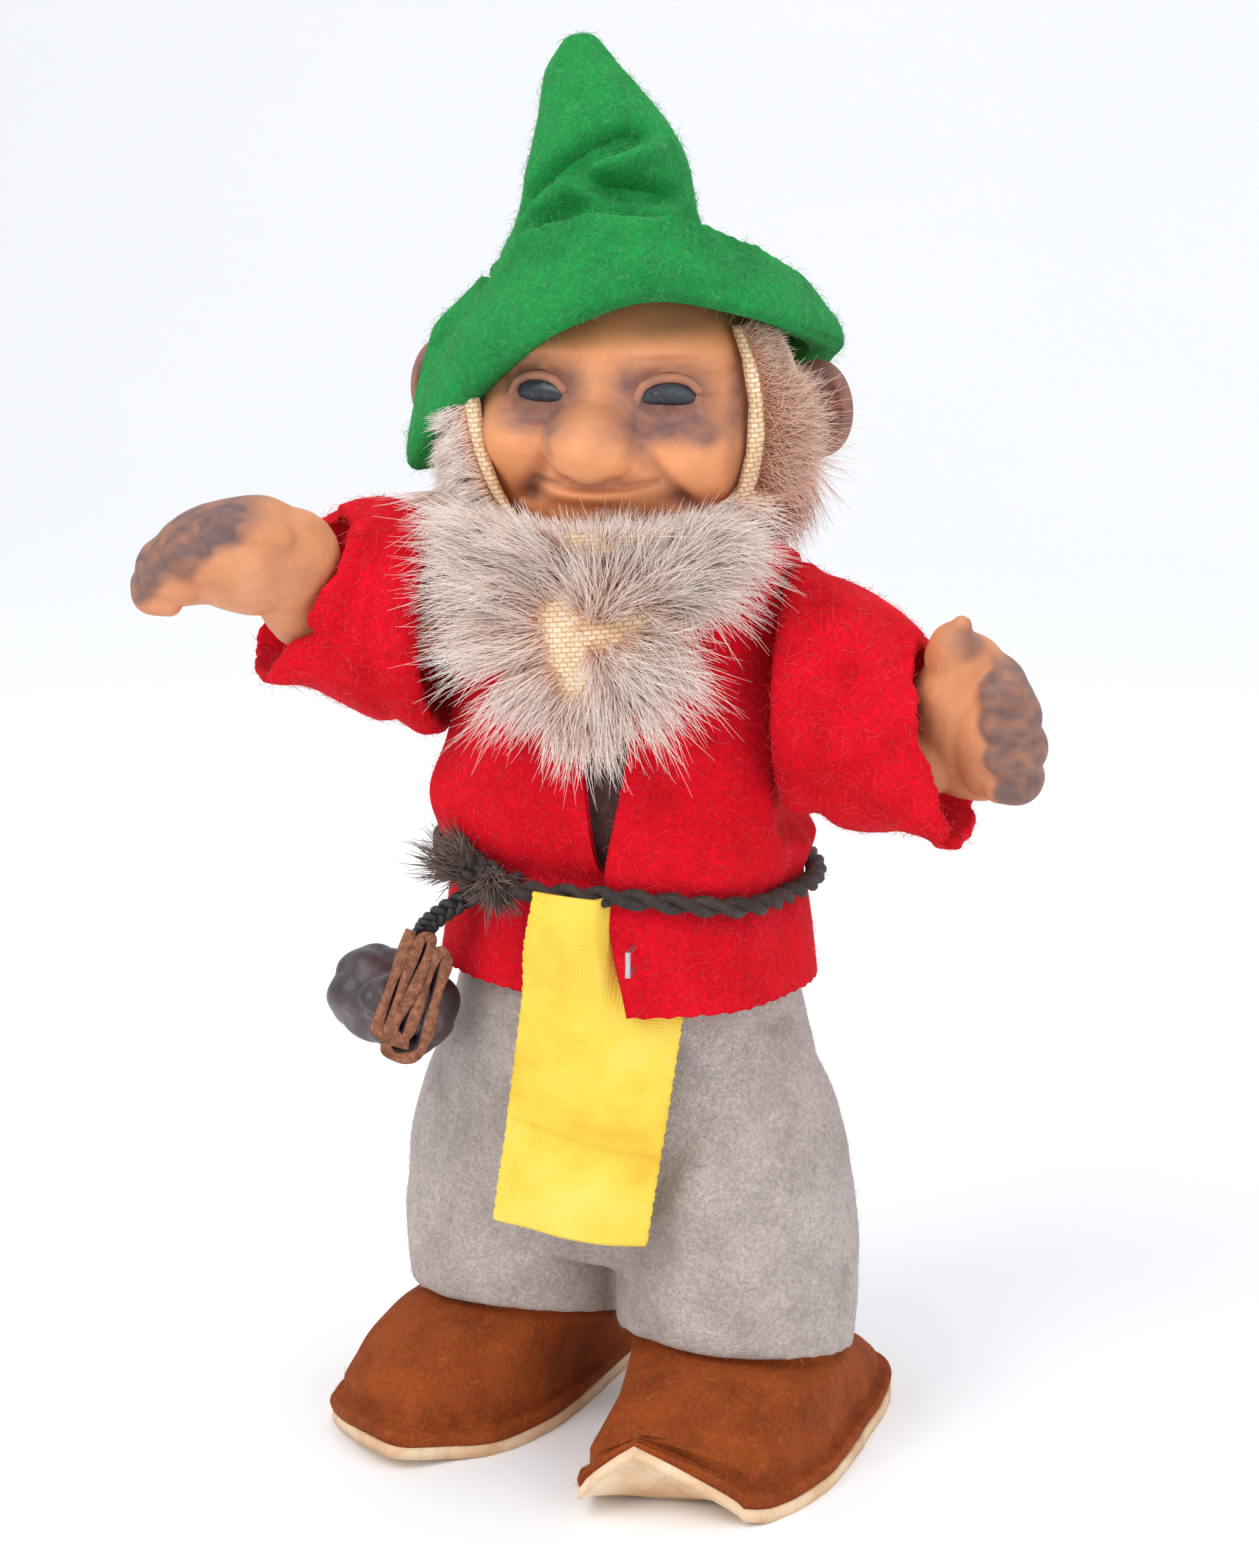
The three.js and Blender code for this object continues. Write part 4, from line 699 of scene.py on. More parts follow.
def torso_ring(z, inset):
    angle = circle(72)
    a, b = along(JACKET_FORM, min(z + 1.6 * float(smooth(76, 84, z)), NECK_Z))
    room = FELT + 0.85 + 1.75 * (1 - float(smooth(52, 58, z))) + inset
    side = ARMHOLE_X - FELT - 0.35 - inset
    return np.column_stack([
        np.clip((a - room) * np.sin(angle), -side, side), -(b - room) * np.cos(angle), np.full(len(angle), z)])


levels = [*np.linspace(HEM_Z, 83, 40), 84.4, 85.2, 85.9]
outside = [torso_ring(z, 0) for z in levels]
inside = [torso_ring(z, SKIN) - (0, 0, SKIN * float(smooth(80, 86, z))) for z in levels]
crown_out = [(outside[-1] - (0, 0, 85.9)) * (k, k, 1) + (0, 0, 85.9 + 0.5 * (1 - k)) for k in (0.7, 0.4, 0.1)]
crown_in = [(inside[-1] - (0, 0, 84.9)) * (k, k, 1) + (0, 0, 84.9 + 0.5 * (1 - k)) for k in (0.1, 0.4, 0.7)]
shell = np.array([*outside, *crown_out, *crown_in, *inside[::-1]])
faces = grid_faces(len(shell), 72, around=True).tolist()
rim = grid_faces(2, 72, around=True)
faces += np.where(rim < 72, rim + (len(shell) - 1) * 72, rim - 72).tolist()
body_skin = mesh_object("body_skin_felt", shell.reshape(-1, 3), faces, shirt_felt)
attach(body_skin, "doll_body")
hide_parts("torso_skin")


def open_front(points, normals):
    return ((points[:, 1] < -10) & (np.abs(points[:, 0] - 1) < 6) & (points[:, 2] > 54)).astype(float)


fuzz(body_skin, 1200, 1.2, shirt_lint, "doll_body", 31, keep=open_front)


# Jacket: one piece of crimson felt round the body with raw edges. The left front laps over the right one
# below the belt, and both fronts part above it over the chest.
FLAP_LIFT = 2.65
LEFT_FRONT = [(HEM_Z, 11.5), (BELT_Z, 6.5), (60, 6), (71, 12), (NECK_Z, 17)]
RIGHT_FRONT = [(HEM_Z, 15), (BELT_Z, 10), (60, 2.2), (71, -3), (NECK_Z, -12)]
red_felt = felt("crimson_felt", (0.78, 0.0025, 0.016), (0.6, 0.0015, 0.01), (0.92, 0.03, 0.04), 0.08)
red_lint = fibres("crimson_fibres", (0.74, 0.003, 0.018), (0.9, 0.1, 0.12))


def jacket_point(angle, z, offset=0.0):
    """A point of the jacket by its angle from the front, its height and its offset from the outer face."""
    a, b = along(JACKET_FORM, z)
    flat = mix(a, ARMHOLE_X, smooth(57.5, 61.5, z))
    limit = np.minimum(a, flat) + offset
    x = np.clip((a + offset) * np.sin(angle), -limit, limit)
    return np.stack([x, -(b + offset) * np.cos(angle), z + 0 * x], -1)


def flap_lift(angle, z):
    down = 1 - smooth(BELT_Z + 2, BELT_Z + 11, z)
    edge = 1 - smooth(math.radians(38), math.radians(72), angle)
    return np.where(angle > -1, FLAP_LIFT * down * edge, 0)


def belt_height(turn):
    """The belt sits a little higher on the doll's right."""
    return BELT_Z + 1.0 - 1.4 * np.sin(turn) + 1.1 * bell(turn - 0.15, 0.5)


def jacket_folds(angle, z):
    """The belt's waist, the puckers it gathers, the flare under it and soft creases of the chest."""
    turn = np.where(angle > math.pi, angle - 2 * math.pi, angle)
    free = 1 - smooth(0.75, 1.1, np.abs(turn)) * smooth(58, 62, z) * (np.abs(turn) < 2.2)
    over = z - belt_height(turn)
    waist = -0.45 * bell(over, 1.5) + 2.3 * bell(turn + 1.35, 0.6) * bell(z - 63.5, 4.2)
    puckers = 0.3 * np.sin(turn * 19 + 2 * np.sin(turn * 3)) * bell(over - 3.4, 2.8)
    skirt = 0.42 * np.sin(turn * 5 + 0.8) * (1 - smooth(HEM_Z, BELT_Z - 1, z))
    slant = 0.32 * np.sin((z - 60) * 0.55 + turn * 4.2) * bell(np.abs(turn) - 0.75, 0.3) * smooth(58, 64, z)
    here = jacket_point(turn, z)
    return waist + (puckers + skirt + slant * (1 - smooth(74, 80, z)) + 0.22 * lumps(here, 6.5, 5.0)) * free


def cloth_sheet(name, outer, inner, material):
    """A closed sheet with thickness from two grids of points, its outer and its inner face."""
    rows, columns = outer.shape[:2]
    back = rows * columns
    faces = grid_faces(rows, columns).tolist() + grid_faces(rows, columns, back, flip=True).tolist()
    for i, turned in ((0, False), (columns - 1, True)):
        edge = np.arange(rows) * columns + i
        rim = np.column_stack([edge[1:], edge[:-1], edge[:-1] + back, edge[1:] + back])
        faces += (rim[:, ::-1] if turned else rim).tolist()
    for k, turned in ((0, True), (rows - 1, False)):
        edge = k * columns + np.arange(columns)
        rim = np.column_stack([edge[1:], edge[:-1], edge[:-1] + back, edge[1:] + back])
        faces += (rim[:, ::-1] if turned else rim).tolist()
    return mesh_object(name, np.concatenate([outer.reshape(-1, 3), inner.reshape(-1, 3)]), faces, material)


def finer(obj, levels=1):
    modifier = obj.modifiers.new("fine_surface", "SUBSURF")
    modifier.levels = levels
    modifier.render_levels = levels
    return applied(obj)


rows, columns = 84, 170
heights = np.concatenate([np.linspace(HEM_Z, 84, rows - 12), np.linspace(84.4, NECK_Z, 12)])[:, None]
share = np.linspace(0, 1, columns)[None]
first = np.radians(along(LEFT_FRONT, heights[:, 0])[0])[:, None]
last = 2 * math.pi + np.radians(along(RIGHT_FRONT, heights[:, 0])[0])[:, None]
angles = first + (last - first) * share
raised = (1.3 - 0.7 * np.sin(angles)) * (1 - smooth(HEM_Z, HEM_Z + 7, heights))
frayed = heights + raised + 0.12 * np.sin(angles * 61) * bell(heights - HEM_Z, 1.2)
lifted = np.where(angles < math.pi, flap_lift(angles, frayed), 0)
offset = lifted + jacket_folds(angles, frayed)
jacket = cloth_sheet("jacket_felt", jacket_point(angles, frayed, offset),
                     jacket_point(angles, frayed, offset - FELT), red_felt)
finer(jacket)
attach(jacket, "doll_body")
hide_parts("jacket")


def outer_face(points, normals):
    """Weight of the places where a garment's cloth looks outwards."""
    out = points[:, :2] / (np.linalg.norm(points[:, :2], axis=1)[:, None] + 1e-9)
    return ((normals[:, :2] * out).sum(1) > -0.2).astype(float)


fuzz(jacket, 5600, 1.5, red_lint, "doll_body", 41, keep=outer_face)


# Sleeves: crimson felt tubes that turn with the arms. Each is closed in round the shoulder where it was
# sewn to the armhole, and ends in an unhemmed edge that was cut by hand and has gone ragged.
SHOULDER_Z = 79
SLEEVE_ROOT_X = 15.7
RAISE = {"right": math.radians(85), "left": math.radians(25)}
ROOT_CENTRE = (0, 5.6, 0.6)
# centre of the cuff (out, down the hanging arm, to its front), its radius, how far its lower and front sides stick out
CUFFS = {"right": ((13, 10.2, 4.2), 8.3, 4.4, -4.0), "left": ((15.0, 10.5, 3.3), 9.4, 2.5, -0.2)}


def arm_place(word, out, down, ahead):
    """A point by its distance from the body, down the hanging arm and to its front, on the raised arm."""
    a = RAISE[word]
    y = -ahead * math.cos(a) - down * math.sin(a)
    z = SHOULDER_Z + ahead * math.sin(a) - down * math.cos(a)
    return np.stack(np.broadcast_arrays(SIDES[word] * (SLEEVE_ROOT_X + out), y, z), -1)


def sleeve_grid(word, inset):
    centre, radius, slant, slant_front = CUFFS[word]
    a = RAISE[word]
    count = 128
    angle = circle(count)[None]
    under = np.cos(angle + a)
    front = np.sin(angle + a)
    rounding = np.array([0, 0.18, 0.36, 0.54, 0.72, 0.88, 1.0])
    head = [(0.12 + 1.5 * (1 - math.cos(t * math.pi / 2)) ** 1.2, 0.88 + 0.12 * math.sin(t * math.pi / 2)) for t in rounding]
    tube = [(u, 1.0) for u in np.linspace(1.9, centre[0], 50)]
    stations = np.array([*head, *tube])
    u, full = stations[:, :1], stations[:, 1:]
    share = np.clip(u / centre[0], 0, 1)
    down = mix(ROOT_CENTRE[1], centre[1], share)
    ahead = mix(ROOT_CENTRE[2], centre[2], share)
    size = mix(11.4, radius, share) * (1 + 0.06 * np.sin(share * math.pi))
    crease_a = -0.7 * bell(u - 3.2 - 1.2 * front, 1.1) * (0.4 + 0.6 * np.clip(under, 0, 1)) * (share < 0.9)
    crease_b = -0.5 * bell(u - 7.5 - 2.4 * under, 1.3) * np.clip(0.3 + 0.7 * front, 0, 1)
    roll = 0.35 * np.sin(angle * 5 + u * 0.5) * share + 0.22 * np.sin(angle * 21) * bell(u - 1.4, 1.3)
    lip = smooth(0.8, 1, share) * (0.9 * bell(np.sin((angle + a) / 2 - 0.35), 0.22) - 0.5 * bell(np.sin((angle + a) / 2 - 1.2), 0.3))
    reach = (size + crease_a + crease_b + roll + lip) * full - inset
    ragged = 0.4 * np.sin(angle * 5 + 1.3) * np.sin(angle * 3 + 0.4) + 0.12 * np.sin(angle * 17 + 2) + 0.1 * np.sin(angle * 43)
    out = u + share ** 2 * (slant * under + slant_front * front) + ragged * smooth(0.82, 1.0, share)
    notch = 1.5 * bell(np.sin((angle + a) / 2 - (0.62 if word == "right" else 0.3)), 0.06)
    out = out - notch * smooth(0.86, 1, share)
    out = np.maximum(out, 0.12) + (inset if inset else 0) * (share < 0.02)
    return arm_place(word, out, down + np.cos(angle) * reach, ahead + np.sin(angle) * reach * 0.95)


def tube_wall(name, outer, inner, material):
    """A closed tube wall from an outer and an inner grid of rings."""
    rows, count = outer.shape[:2]
    shell = np.concatenate([outer, inner[::-1]])
    faces = grid_faces(2 * rows, count, around=True).tolist()
    rim = grid_faces(2, count, around=True)
    last = (2 * rows - 1) * count
    faces += np.where(rim < count, rim + last, rim - count).tolist()
    return mesh_object(name, shell.reshape(-1, 3), faces, material)


def outwards(obj):
    """Turns the faces of a closed mesh so that they look out."""
    import bmesh
    work = bmesh.new()
    work.from_mesh(obj.data)
    bmesh.ops.recalc_face_normals(work, faces=work.faces)
    work.to_mesh(obj.data)
    work.free()
    return obj


for word in SIDES:
    outer = sleeve_grid(word, 0)
    wobble = 0.3 * lumps(outer, 5.0, 13.0 + SIDES[word])
    middle = outer.mean(axis=1, keepdims=True)
    ways = unit(outer - middle)
    ways[..., 0] = 0
    free = smooth(0, 8, np.arange(len(outer)))[:, None]
    outer = outer + ways * (wobble * free)[..., None]
    inner = sleeve_grid(word, FELT) + ways * (wobble * free)[..., None]
    sleeve = outwards(finer(tube_wall(f"{word}_sleeve_felt", outer, inner, red_felt)))
    body = f"{word}_arm_group"
    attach(sleeve, body)
    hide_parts(f"{word}_sleeve")
    fuzz(sleeve, 3800, 1.5, red_lint, body, 51 + SIDES[word])


# Arms with hands: moulded in soft vinyl in one piece, a loose fist with a thumb, coloured with a dark
# purple brown wash on and between the fingers, partly paint and partly painted shade in the creases. A pin holds each
# arm at the shoulder.
def limb(stations, sides=20):
    """A swelling tube with round ends through stations of (x, y, z, radius)."""
    stations = np.array(stations, float)
    knots = np.arange(len(stations))
    fine = along(np.column_stack([knots, stations]), np.linspace(0, len(stations) - 1, 6 * len(stations))).T
    centre, radius = fine[:, :3], fine[:, 3]
    way = unit(np.gradient(centre, axis=0))
    side = unit(np.cross((0.1, 0.28, 0.96), way))
    up = np.cross(way, side)
    angle = circle(sides)
    rings = []

    def ring(k, scale, shift):
        middle = centre[k] + way[k] * shift
        wheel = np.cos(angle)[:, None] * side[k] + np.sin(angle)[:, None] * up[k]
        rings.append(middle + wheel * radius[k] * scale)

    for scale in (0.2, 0.5, 0.75, 0.93):
        ring(0, scale, -radius[0] * math.sqrt(1 - scale ** 2))
    for k in range(len(fine)):
        ring(k, 1, 0)
    for scale in (0.93, 0.75, 0.5, 0.2):
        ring(-1, scale, radius[-1] * math.sqrt(1 - scale ** 2))
    return loft(rings)


def ball(centre, radii, sides=28, rows=16):
    lift = np.linspace(-math.pi / 2, math.pi / 2, rows + 2)[1:-1]
    angle = circle(sides)
    rings = [np.column_stack([
        centre[0] + radii[0] * math.cos(t) * np.cos(angle),
        centre[1] + radii[1] * math.cos(t) * np.sin(angle),
        np.full(sides, centre[2] + radii[2] * math.sin(t))]) for t in lift]
    return loft(rings)


def seen(across, near, high):
    """A point by where it is seen from the camera's side: to the right, towards the camera, and its height."""
    return (
        across * math.cos(AZIMUTH) + near * math.sin(AZIMUTH),
        across * math.sin(AZIMUTH) - near * math.cos(AZIMUTH),
        high,
    )


def moulded(name, parts, material, voxel, rounds, push=None):
    """Blobs run together into one moulded solid."""
    obj = mesh_object(name, *joined(parts), material)
    remesh = obj.modifiers.new("one_mould", "REMESH")
    remesh.mode = "VOXEL"
    remesh.voxel_size = voxel * MM
    soft = obj.modifiers.new("soft_mould", "SMOOTH")
    soft.factor = 0.5
    soft.iterations = rounds
    applied(obj)
    obj.data.shade_smooth()
    if push is not None:
        pushed(obj, push)
    return obj


def paint(obj, name, values):
    """A named number at each point of a mesh, from its places in millimetres."""
    count = len(obj.data.vertices)
    co = np.zeros(count * 3)
    obj.data.vertices.foreach_get("co", co)
    points = co.reshape(-1, 3) / MM - (0, MIDDLE_Y, 0)
    layer = obj.data.attributes.new(name, "FLOAT", "POINT")
    layer.data.foreach_set("value", np.clip(values(points), 0, 1).astype(np.float32))


def vinyl(name, colour, shade, wash_and_shade, pale):
    """Painted soft vinyl: mottled skin colour, an unevenly worn dark wash where it is laid on, which is partly the
    doll's paint and partly painted shade in hollows and creases, and a dull skin.
    """
    material = bpy.data.materials.new(name)
    tree = blank_tree(material)
    where = add(tree, "ShaderNodeTexCoord").outputs["Object"]
    cloud = add(tree, "ShaderNodeTexNoise", Vector=where, Scale=190.0, Detail=4.0)
    grit = add(tree, "ShaderNodeTexNoise", Vector=where, Scale=1400.0, Detail=4.0, Roughness=0.7)
    streak = add(tree, "ShaderNodeTexNoise", Vector=where, Scale=330.0, Detail=3.0, Distortion=1.4)
    skin = ramp(tree, cloud.outputs["Fac"], [(0.3, shade), (0.52, colour), (0.72, pale)])
    # the wash attribute: the doll's own paint together with painted shade
    painted = add(tree, "ShaderNodeAttribute", {"attribute_name": "wash_and_shade"})
    worn = add(tree, "ShaderNodeMapRange", Value=streak.outputs["Fac"], From_Min=0.3, From_Max=0.7, To_Min=0.8,
               To_Max=1.12)
    amount = add(tree, "ShaderNodeMath", {"operation": "MULTIPLY", "use_clamp": True},
                 Input_0=painted.outputs["Fac"], Input_1=worn.outputs[0])
    washed = blended(tree, amount.outputs[0], skin, wash_and_shade)
    fine = ramp(tree, grit.outputs["Fac"], [(0.3, (0.94, 0.94, 0.94)), (0.7, (1.04, 1.04, 1.04))])
    surface = blended(tree, 1.0, washed, fine, "MULTIPLY")
    bump = add(tree, "ShaderNodeBump", Strength=0.2, Distance=0.00006, Height=grit.outputs["Fac"])
    skin_shader = add(tree, "ShaderNodeBsdfPrincipled", Base_Color=surface, Roughness=0.56,
                      Specular_IOR_Level=0.32, Subsurface_Weight=0.12, Subsurface_Scale=0.002,
                      Normal=bump.outputs[0])
    skin_shader.inputs["Subsurface Radius"].default_value = (1.0, 0.4, 0.2)
    add(tree, "ShaderNodeOutputMaterial", Surface=skin_shader.outputs[0])
    return material


# the fourth colour is the wash: paint and painted shade in one
hand_vinyl = vinyl("hand_vinyl", (0.66, 0.275, 0.13), (0.55, 0.215, 0.1), (0.17, 0.098, 0.09), (0.72, 0.34, 0.18))

ARM = [(3.6, 0.4, 0, 3.2), (3.8, 5, 0.4, 4.0), (6.5, 10.5, 1.4, 4.0), (11.5, 13, 3, 3.6)]
# fingers of each hand: knuckle and two stations to the tip, each (across, near, high), all in the photo's view
HANDS = {
    "right": {
        "palm": [(-30.6, 9.4, 86.4, 4.6), (-33.6, 9.4, 86.6, 5.5), (-38.0, 8.8, 86.4, 4.7), (-41.4, 7.8, 84.9, 3.5)],
        "thumb": [(-31.2, 12.6, 88.2, 1.8), (-33.8, 13.2, 89.4, 1.6), (-36.6, 12.4, 90.1, 1.3)],
        "fingers": [
            [(-37.9, 8.8, 89.3, 2.0), (-37.2, 12.2, 88.5, 1.75), (-34.6, 13.5, 87.4, 1.3)],
            [(-40.5, 8.4, 87.8, 2.0), (-39.9, 11.6, 86.8, 1.75), (-37.4, 12.9, 85.5, 1.3)],
            [(-42.5, 7.8, 85.8, 2.0), (-42.0, 10.8, 84.9, 1.7), (-39.8, 12.0, 83.8, 1.3)],
            [(-43.6, 7.2, 83.5, 1.85), (-43.2, 9.8, 82.8, 1.6), (-41.4, 10.9, 82.4, 1.2)],
        ],
    },
    "left": {
        "palm": [(28.6, 14.6, 70.2, 3.4), (29.4, 15.2, 74.2, 4.4), (30.0, 15.4, 77.0, 3.8)],
        "heel": [(28.2, 14.2, 70.4, 3.0), (29.6, 14.6, 68.6, 3.0), (31.6, 15.2, 68.2, 3.0)],
        "thumb": [(29.0, 16, 78.6, 2.9), (28.9, 17.2, 80.4, 2.2), (29.3, 17.8, 81.8, 1.0)],
        "fingers": [
            [(31.0, 15.5, 77.7, 2.2), (33.0, 17.0, 76.8, 2.1), (33.2, 19.6, 76.1, 1.9), (31.9, 20.6, 75.9, 1.5)],
            [(32.0, 15.0, 75.0, 2.3), (34.2, 16.8, 74.2, 2.2), (34.3, 19.6, 73.4, 2.0), (32.2, 20.7, 73.2, 1.6)],
            [(32.2, 14.8, 72.0, 2.3), (34.9, 16.6, 71.2, 2.2), (34.8, 19.4, 70.5, 2.0), (32.6, 20.5, 70.3, 1.6)],
            [(31.8, 14.6, 69.0, 2.3), (34.8, 16.2, 68.2, 2.2), (34.5, 18.8, 67.7, 2.0), (32.8, 19.8, 67.6, 1.5)],
        ],
    },
}
seat_x = SLEEVE_ROOT_X

for word, hand in HANDS.items():
    arm_line = [(*arm_place(word, *s[:3]), s[3]) for s in ARM]
    place = [(*seen(*s[:3]), s[3]) for s in hand["palm"]]
    parts = [limb([*arm_line, place[0]]), limb(place), limb([(*seen(*s[:3]), s[3]) for s in hand["thumb"]])]
    if word == "left":
        parts.append(limb([(*seen(*s[:3]), s[3]) for s in hand["heel"]]))
        parts.append(ball(seen(29.8, 16.2, 73.4), (3.8, 3.2, 6.6)))
        parts.append(ball(seen(32.5, 17.2, 72.2), (4.1, 4.4, 6.4)))
    for finger in hand["fingers"]:
        parts.append(limb([(*seen(*s[:3]), s[3]) for s in finger]))
    arm = moulded(f"{word}_arm_vinyl", parts, hand_vinyl, 0.26, 9)
    # the flat seat against the jacket's side
    low = len(arm.data.vertices)
    co = np.zeros(low * 3)
    arm.data.vertices.foreach_get("co", co)
    co = co.reshape(-1, 3)
    co[:, 0] = np.where(SIDES[word] * co[:, 0] < seat_x * MM, SIDES[word] * seat_x * MM, co[:, 0])
    arm.data.vertices.foreach_set("co", co.astype(np.float32).ravel())
    thumb_tip = np.array(seen(*hand["thumb"][1 if word == "left" else 2][:3])) + (0.6, 0, 0)

    # the wash over the fingers and round the thumb's tip, partly paint and partly painted shade in the creases between
    # them
    def wash_and_shade(points, word=word, thumb_tip=thumb_tip):
        across = points @ (0.974, 0.225, 0)
        high = points[:, 2]
        if word == "right":
            over = -0.541 * (across + 44.9) + 0.842 * (high - 81.7) + 0.8 * lumps(points, 2.4, 3.0)
            dark = smooth(-0.5, 1.2, over) * smooth(-31, -35, across)
        else:
            border = np.interp(high, [65.1, 67.8, 70.2, 73.3, 75.9, 78.3], [33.3, 31.8, 31.3, 30.8, 30.3, 31.5])
            over = across - border + 0.35 * np.sin(high * 1.9) + 0.3 * lumps(points, 2.0, 3.0)
            dark = smooth(-0.2, 0.5, over) * smooth(79.6, 78.4, high)
        ridges = 0.86 + 0.3 * lumps(points * (1, 1, 1.6), 1.5, 7.0)
        thumb = np.linalg.norm(points - thumb_tip, axis=1)
        return dark * ridges + 0.6 * smooth(2.6, 1.4, thumb)

    paint(arm, "wash_and_shade", wash_and_shade)
    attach(arm, f"{word}_arm_group")
    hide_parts(f"{word}_arm")


# Belt: a dark waxed cord of two twisted plies round the waist, tied at the doll's right front in a knot
# whose two cut ends have frayed into tufts. It holds the tag and carries the pouch.
CORD_RADIUS = 1.0
KNOT_ANGLE = math.radians(-35)


def belt_point(angle):
    """The belt's centre line by its angle from the front."""
    angle = np.asarray(angle, float)
    turn = np.where(angle > math.pi, angle - 2 * math.pi, angle)
    lap = np.where((turn > -0.35) & (turn < 1.2), flap_lift(np.maximum(turn, 0), BELT_Z), 0)
    over = np.maximum(lap, 1.1 * (1 - smooth(0.2, 0.5, np.abs(turn))))
    p = jacket_point(turn, np.full_like(turn, BELT_Z), over + CORD_RADIUS - 0.3)
    p[..., 2] = belt_height(turn)
    return p


def ply(centre, radius, off, turns, phase, closed=False, sides=9):
    """One ply of a twisted cord along a line of points."""
    if closed:
        way = unit(np.roll(centre, -1, 0) - np.roll(centre, 1, 0))
    else:
        way = unit(np.gradient(centre, axis=0))
    up = np.array((0.02, 0.05, 1.0))
    side = unit(np.cross(up, way))
    top = np.cross(way, side)
    t = np.linspace(0, 1, len(centre), endpoint=not closed) * 2 * math.pi * turns + phase
    middle = centre + off * (np.cos(t)[:, None] * side + np.sin(t)[:, None] * top)
    angle = circle(sides)
    wheel = np.cos(angle)[None, :, None] * side[:, None] + np.sin(angle)[None, :, None] * top[:, None]
    size = np.broadcast_to(np.asarray(radius, float), (len(centre),))[:, None, None]
    rings = middle[:, None] + wheel * size
    if not closed:
        return loft(rings)
    faces = grid_faces(len(rings), sides, around=True).tolist()
    last = (len(rings) - 1) * sides
    rim = grid_faces(2, sides, around=True)
    faces += np.where(rim < sides, rim + last, rim - sides).tolist()
    return rings.reshape(-1, 3), faces


def cord_finish(name, dark, pale, roughness, scale=1500.0):
    material = bpy.data.materials.new(name)
    tree = blank_tree(material)
    where = add(tree, "ShaderNodeTexCoord").outputs["Object"]
    patch = add(tree, "ShaderNodeTexNoise", Vector=where, Scale=520.0, Detail=3.0)
    thread = add(tree, "ShaderNodeTexNoise", Vector=where, Scale=scale, Detail=3.0, Distortion=1.6)
    tone = ramp(tree, patch.outputs["Fac"], [(0.35, dark), (0.7, pale)])
    light = ramp(tree, thread.outputs["Fac"], [(0.35, (0.6, 0.6, 0.6)), (0.65, (1.4, 1.4, 1.4))])
    tone = blended(tree, 1.0, tone, light, "MULTIPLY")
    bump = add(tree, "ShaderNodeBump", Strength=0.8, Distance=0.0002, Height=thread.outputs["Fac"])
    yarn = add(tree, "ShaderNodeBsdfPrincipled", Base_Color=tone, Roughness=roughness, Sheen_Weight=0.05,
               Normal=bump.outputs[0])
    add(tree, "ShaderNodeOutputMaterial", Surface=yarn.outputs[0])
    return material


belt_yarn = cord_finish("dark_waxed_cord", (0.017, 0.01, 0.008), (0.048, 0.028, 0.022), 0.7)
belt_lint = fibres("cord_fibres", (0.085, 0.052, 0.04), (0.26, 0.17, 0.13))
steps = 560
line = belt_point(KNOT_ANGLE + np.arange(steps) / steps * 2 * math.pi)
knot = belt_point(np.array([KNOT_ANGLE]))[0]
knot_out = np.array([math.sin(KNOT_ANGLE), -math.cos(KNOT_ANGLE), 0])
knot_side = np.array([math.cos(KNOT_ANGLE), math.sin(KNOT_ANGLE), 0])
UP = np.array([0, 0, 1.0])


def by_knot(go, out, up):
    return knot + knot_side * go + knot_out * out + UP * up


parts = [ply(line, 0.56, 0.46, 20, phase, closed=True) for phase in (0, math.pi)]
wrap = [
    (-1.5, 0.2, -0.8), (-1.3, 1.3, 0.6), (-0.5, 1.9, 1.5), (0.5, 1.7, 1.3), (1.0, 1.2, 0.1), (0.7, 1.3, -1.2),
    (-0.3, 1.4, -1.7), (-1.2, 1.0, -0.9), (-1.7, 0.4, 0.6), (-1.3, -0.2, 1.7),
]
loop_line = along([(k, *by_knot(*p)) for k, p in enumerate(wrap)], np.linspace(0, len(wrap) - 1, 90)).T
parts += [ply(loop_line, 0.55, 0.42, 5, phase) for phase in (0, math.pi)]
over = [(1.5, 0.2, 0.9), (0.9, 1.6, 0.7), (0.0, 2.3, 0.1), (-0.8, 1.9, -0.6), (-1.4, 0.8, -1.4), (-1.9, 0.2, -2.6)]
over_line = along([(k, *by_knot(*p)) for k, p in enumerate(over)], np.linspace(0, len(over) - 1, 60)).T
parts += [ply(over_line, 0.52, 0.4, 3, phase) for phase in (0, math.pi)]
belt = outwards(mesh_object("belt_cord_plies", *joined(parts), belt_yarn))
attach(belt, "doll_body")
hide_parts("belt_cord")
fuzz(belt, 900, 1.1, belt_lint, "doll_body", 61, lift=0.7)


def tuft(name, start, way, length, spread, count, seed, droop=0.0):
    """A frayed cord end: fibres that burst from a point."""
    rng = np.random.default_rng(seed)
    t = np.linspace(0, 1, 7)[None, :, None]
    way = unit(np.array(way, float))
    aims = unit(way + spread * rng.normal(size=(count, 3)))
    bend = rng.normal(size=(count, 3)) * 0.28
    reach = length * rng.uniform(0.55, 1.05, (count, 1, 1))
    root = np.array(start) + rng.normal(size=(count, 3)) * 0.35
    paths = root[:, None] + reach * (way * t * 0.45 + aims[:, None] * t * 0.6 + bend[:, None] * t * t)
    paths[..., 2] -= (t[..., 0] ** 2) * droop
    paths = (paths + (0, MIDDLE_Y, 0)) * MM
    radii = np.broadcast_to(np.array([0.075, 0.085, 0.085, 0.075, 0.065, 0.05, 0.02]) * MM, (count, 7))
    return strands(name, paths, radii, belt_lint, "doll_body", seed)


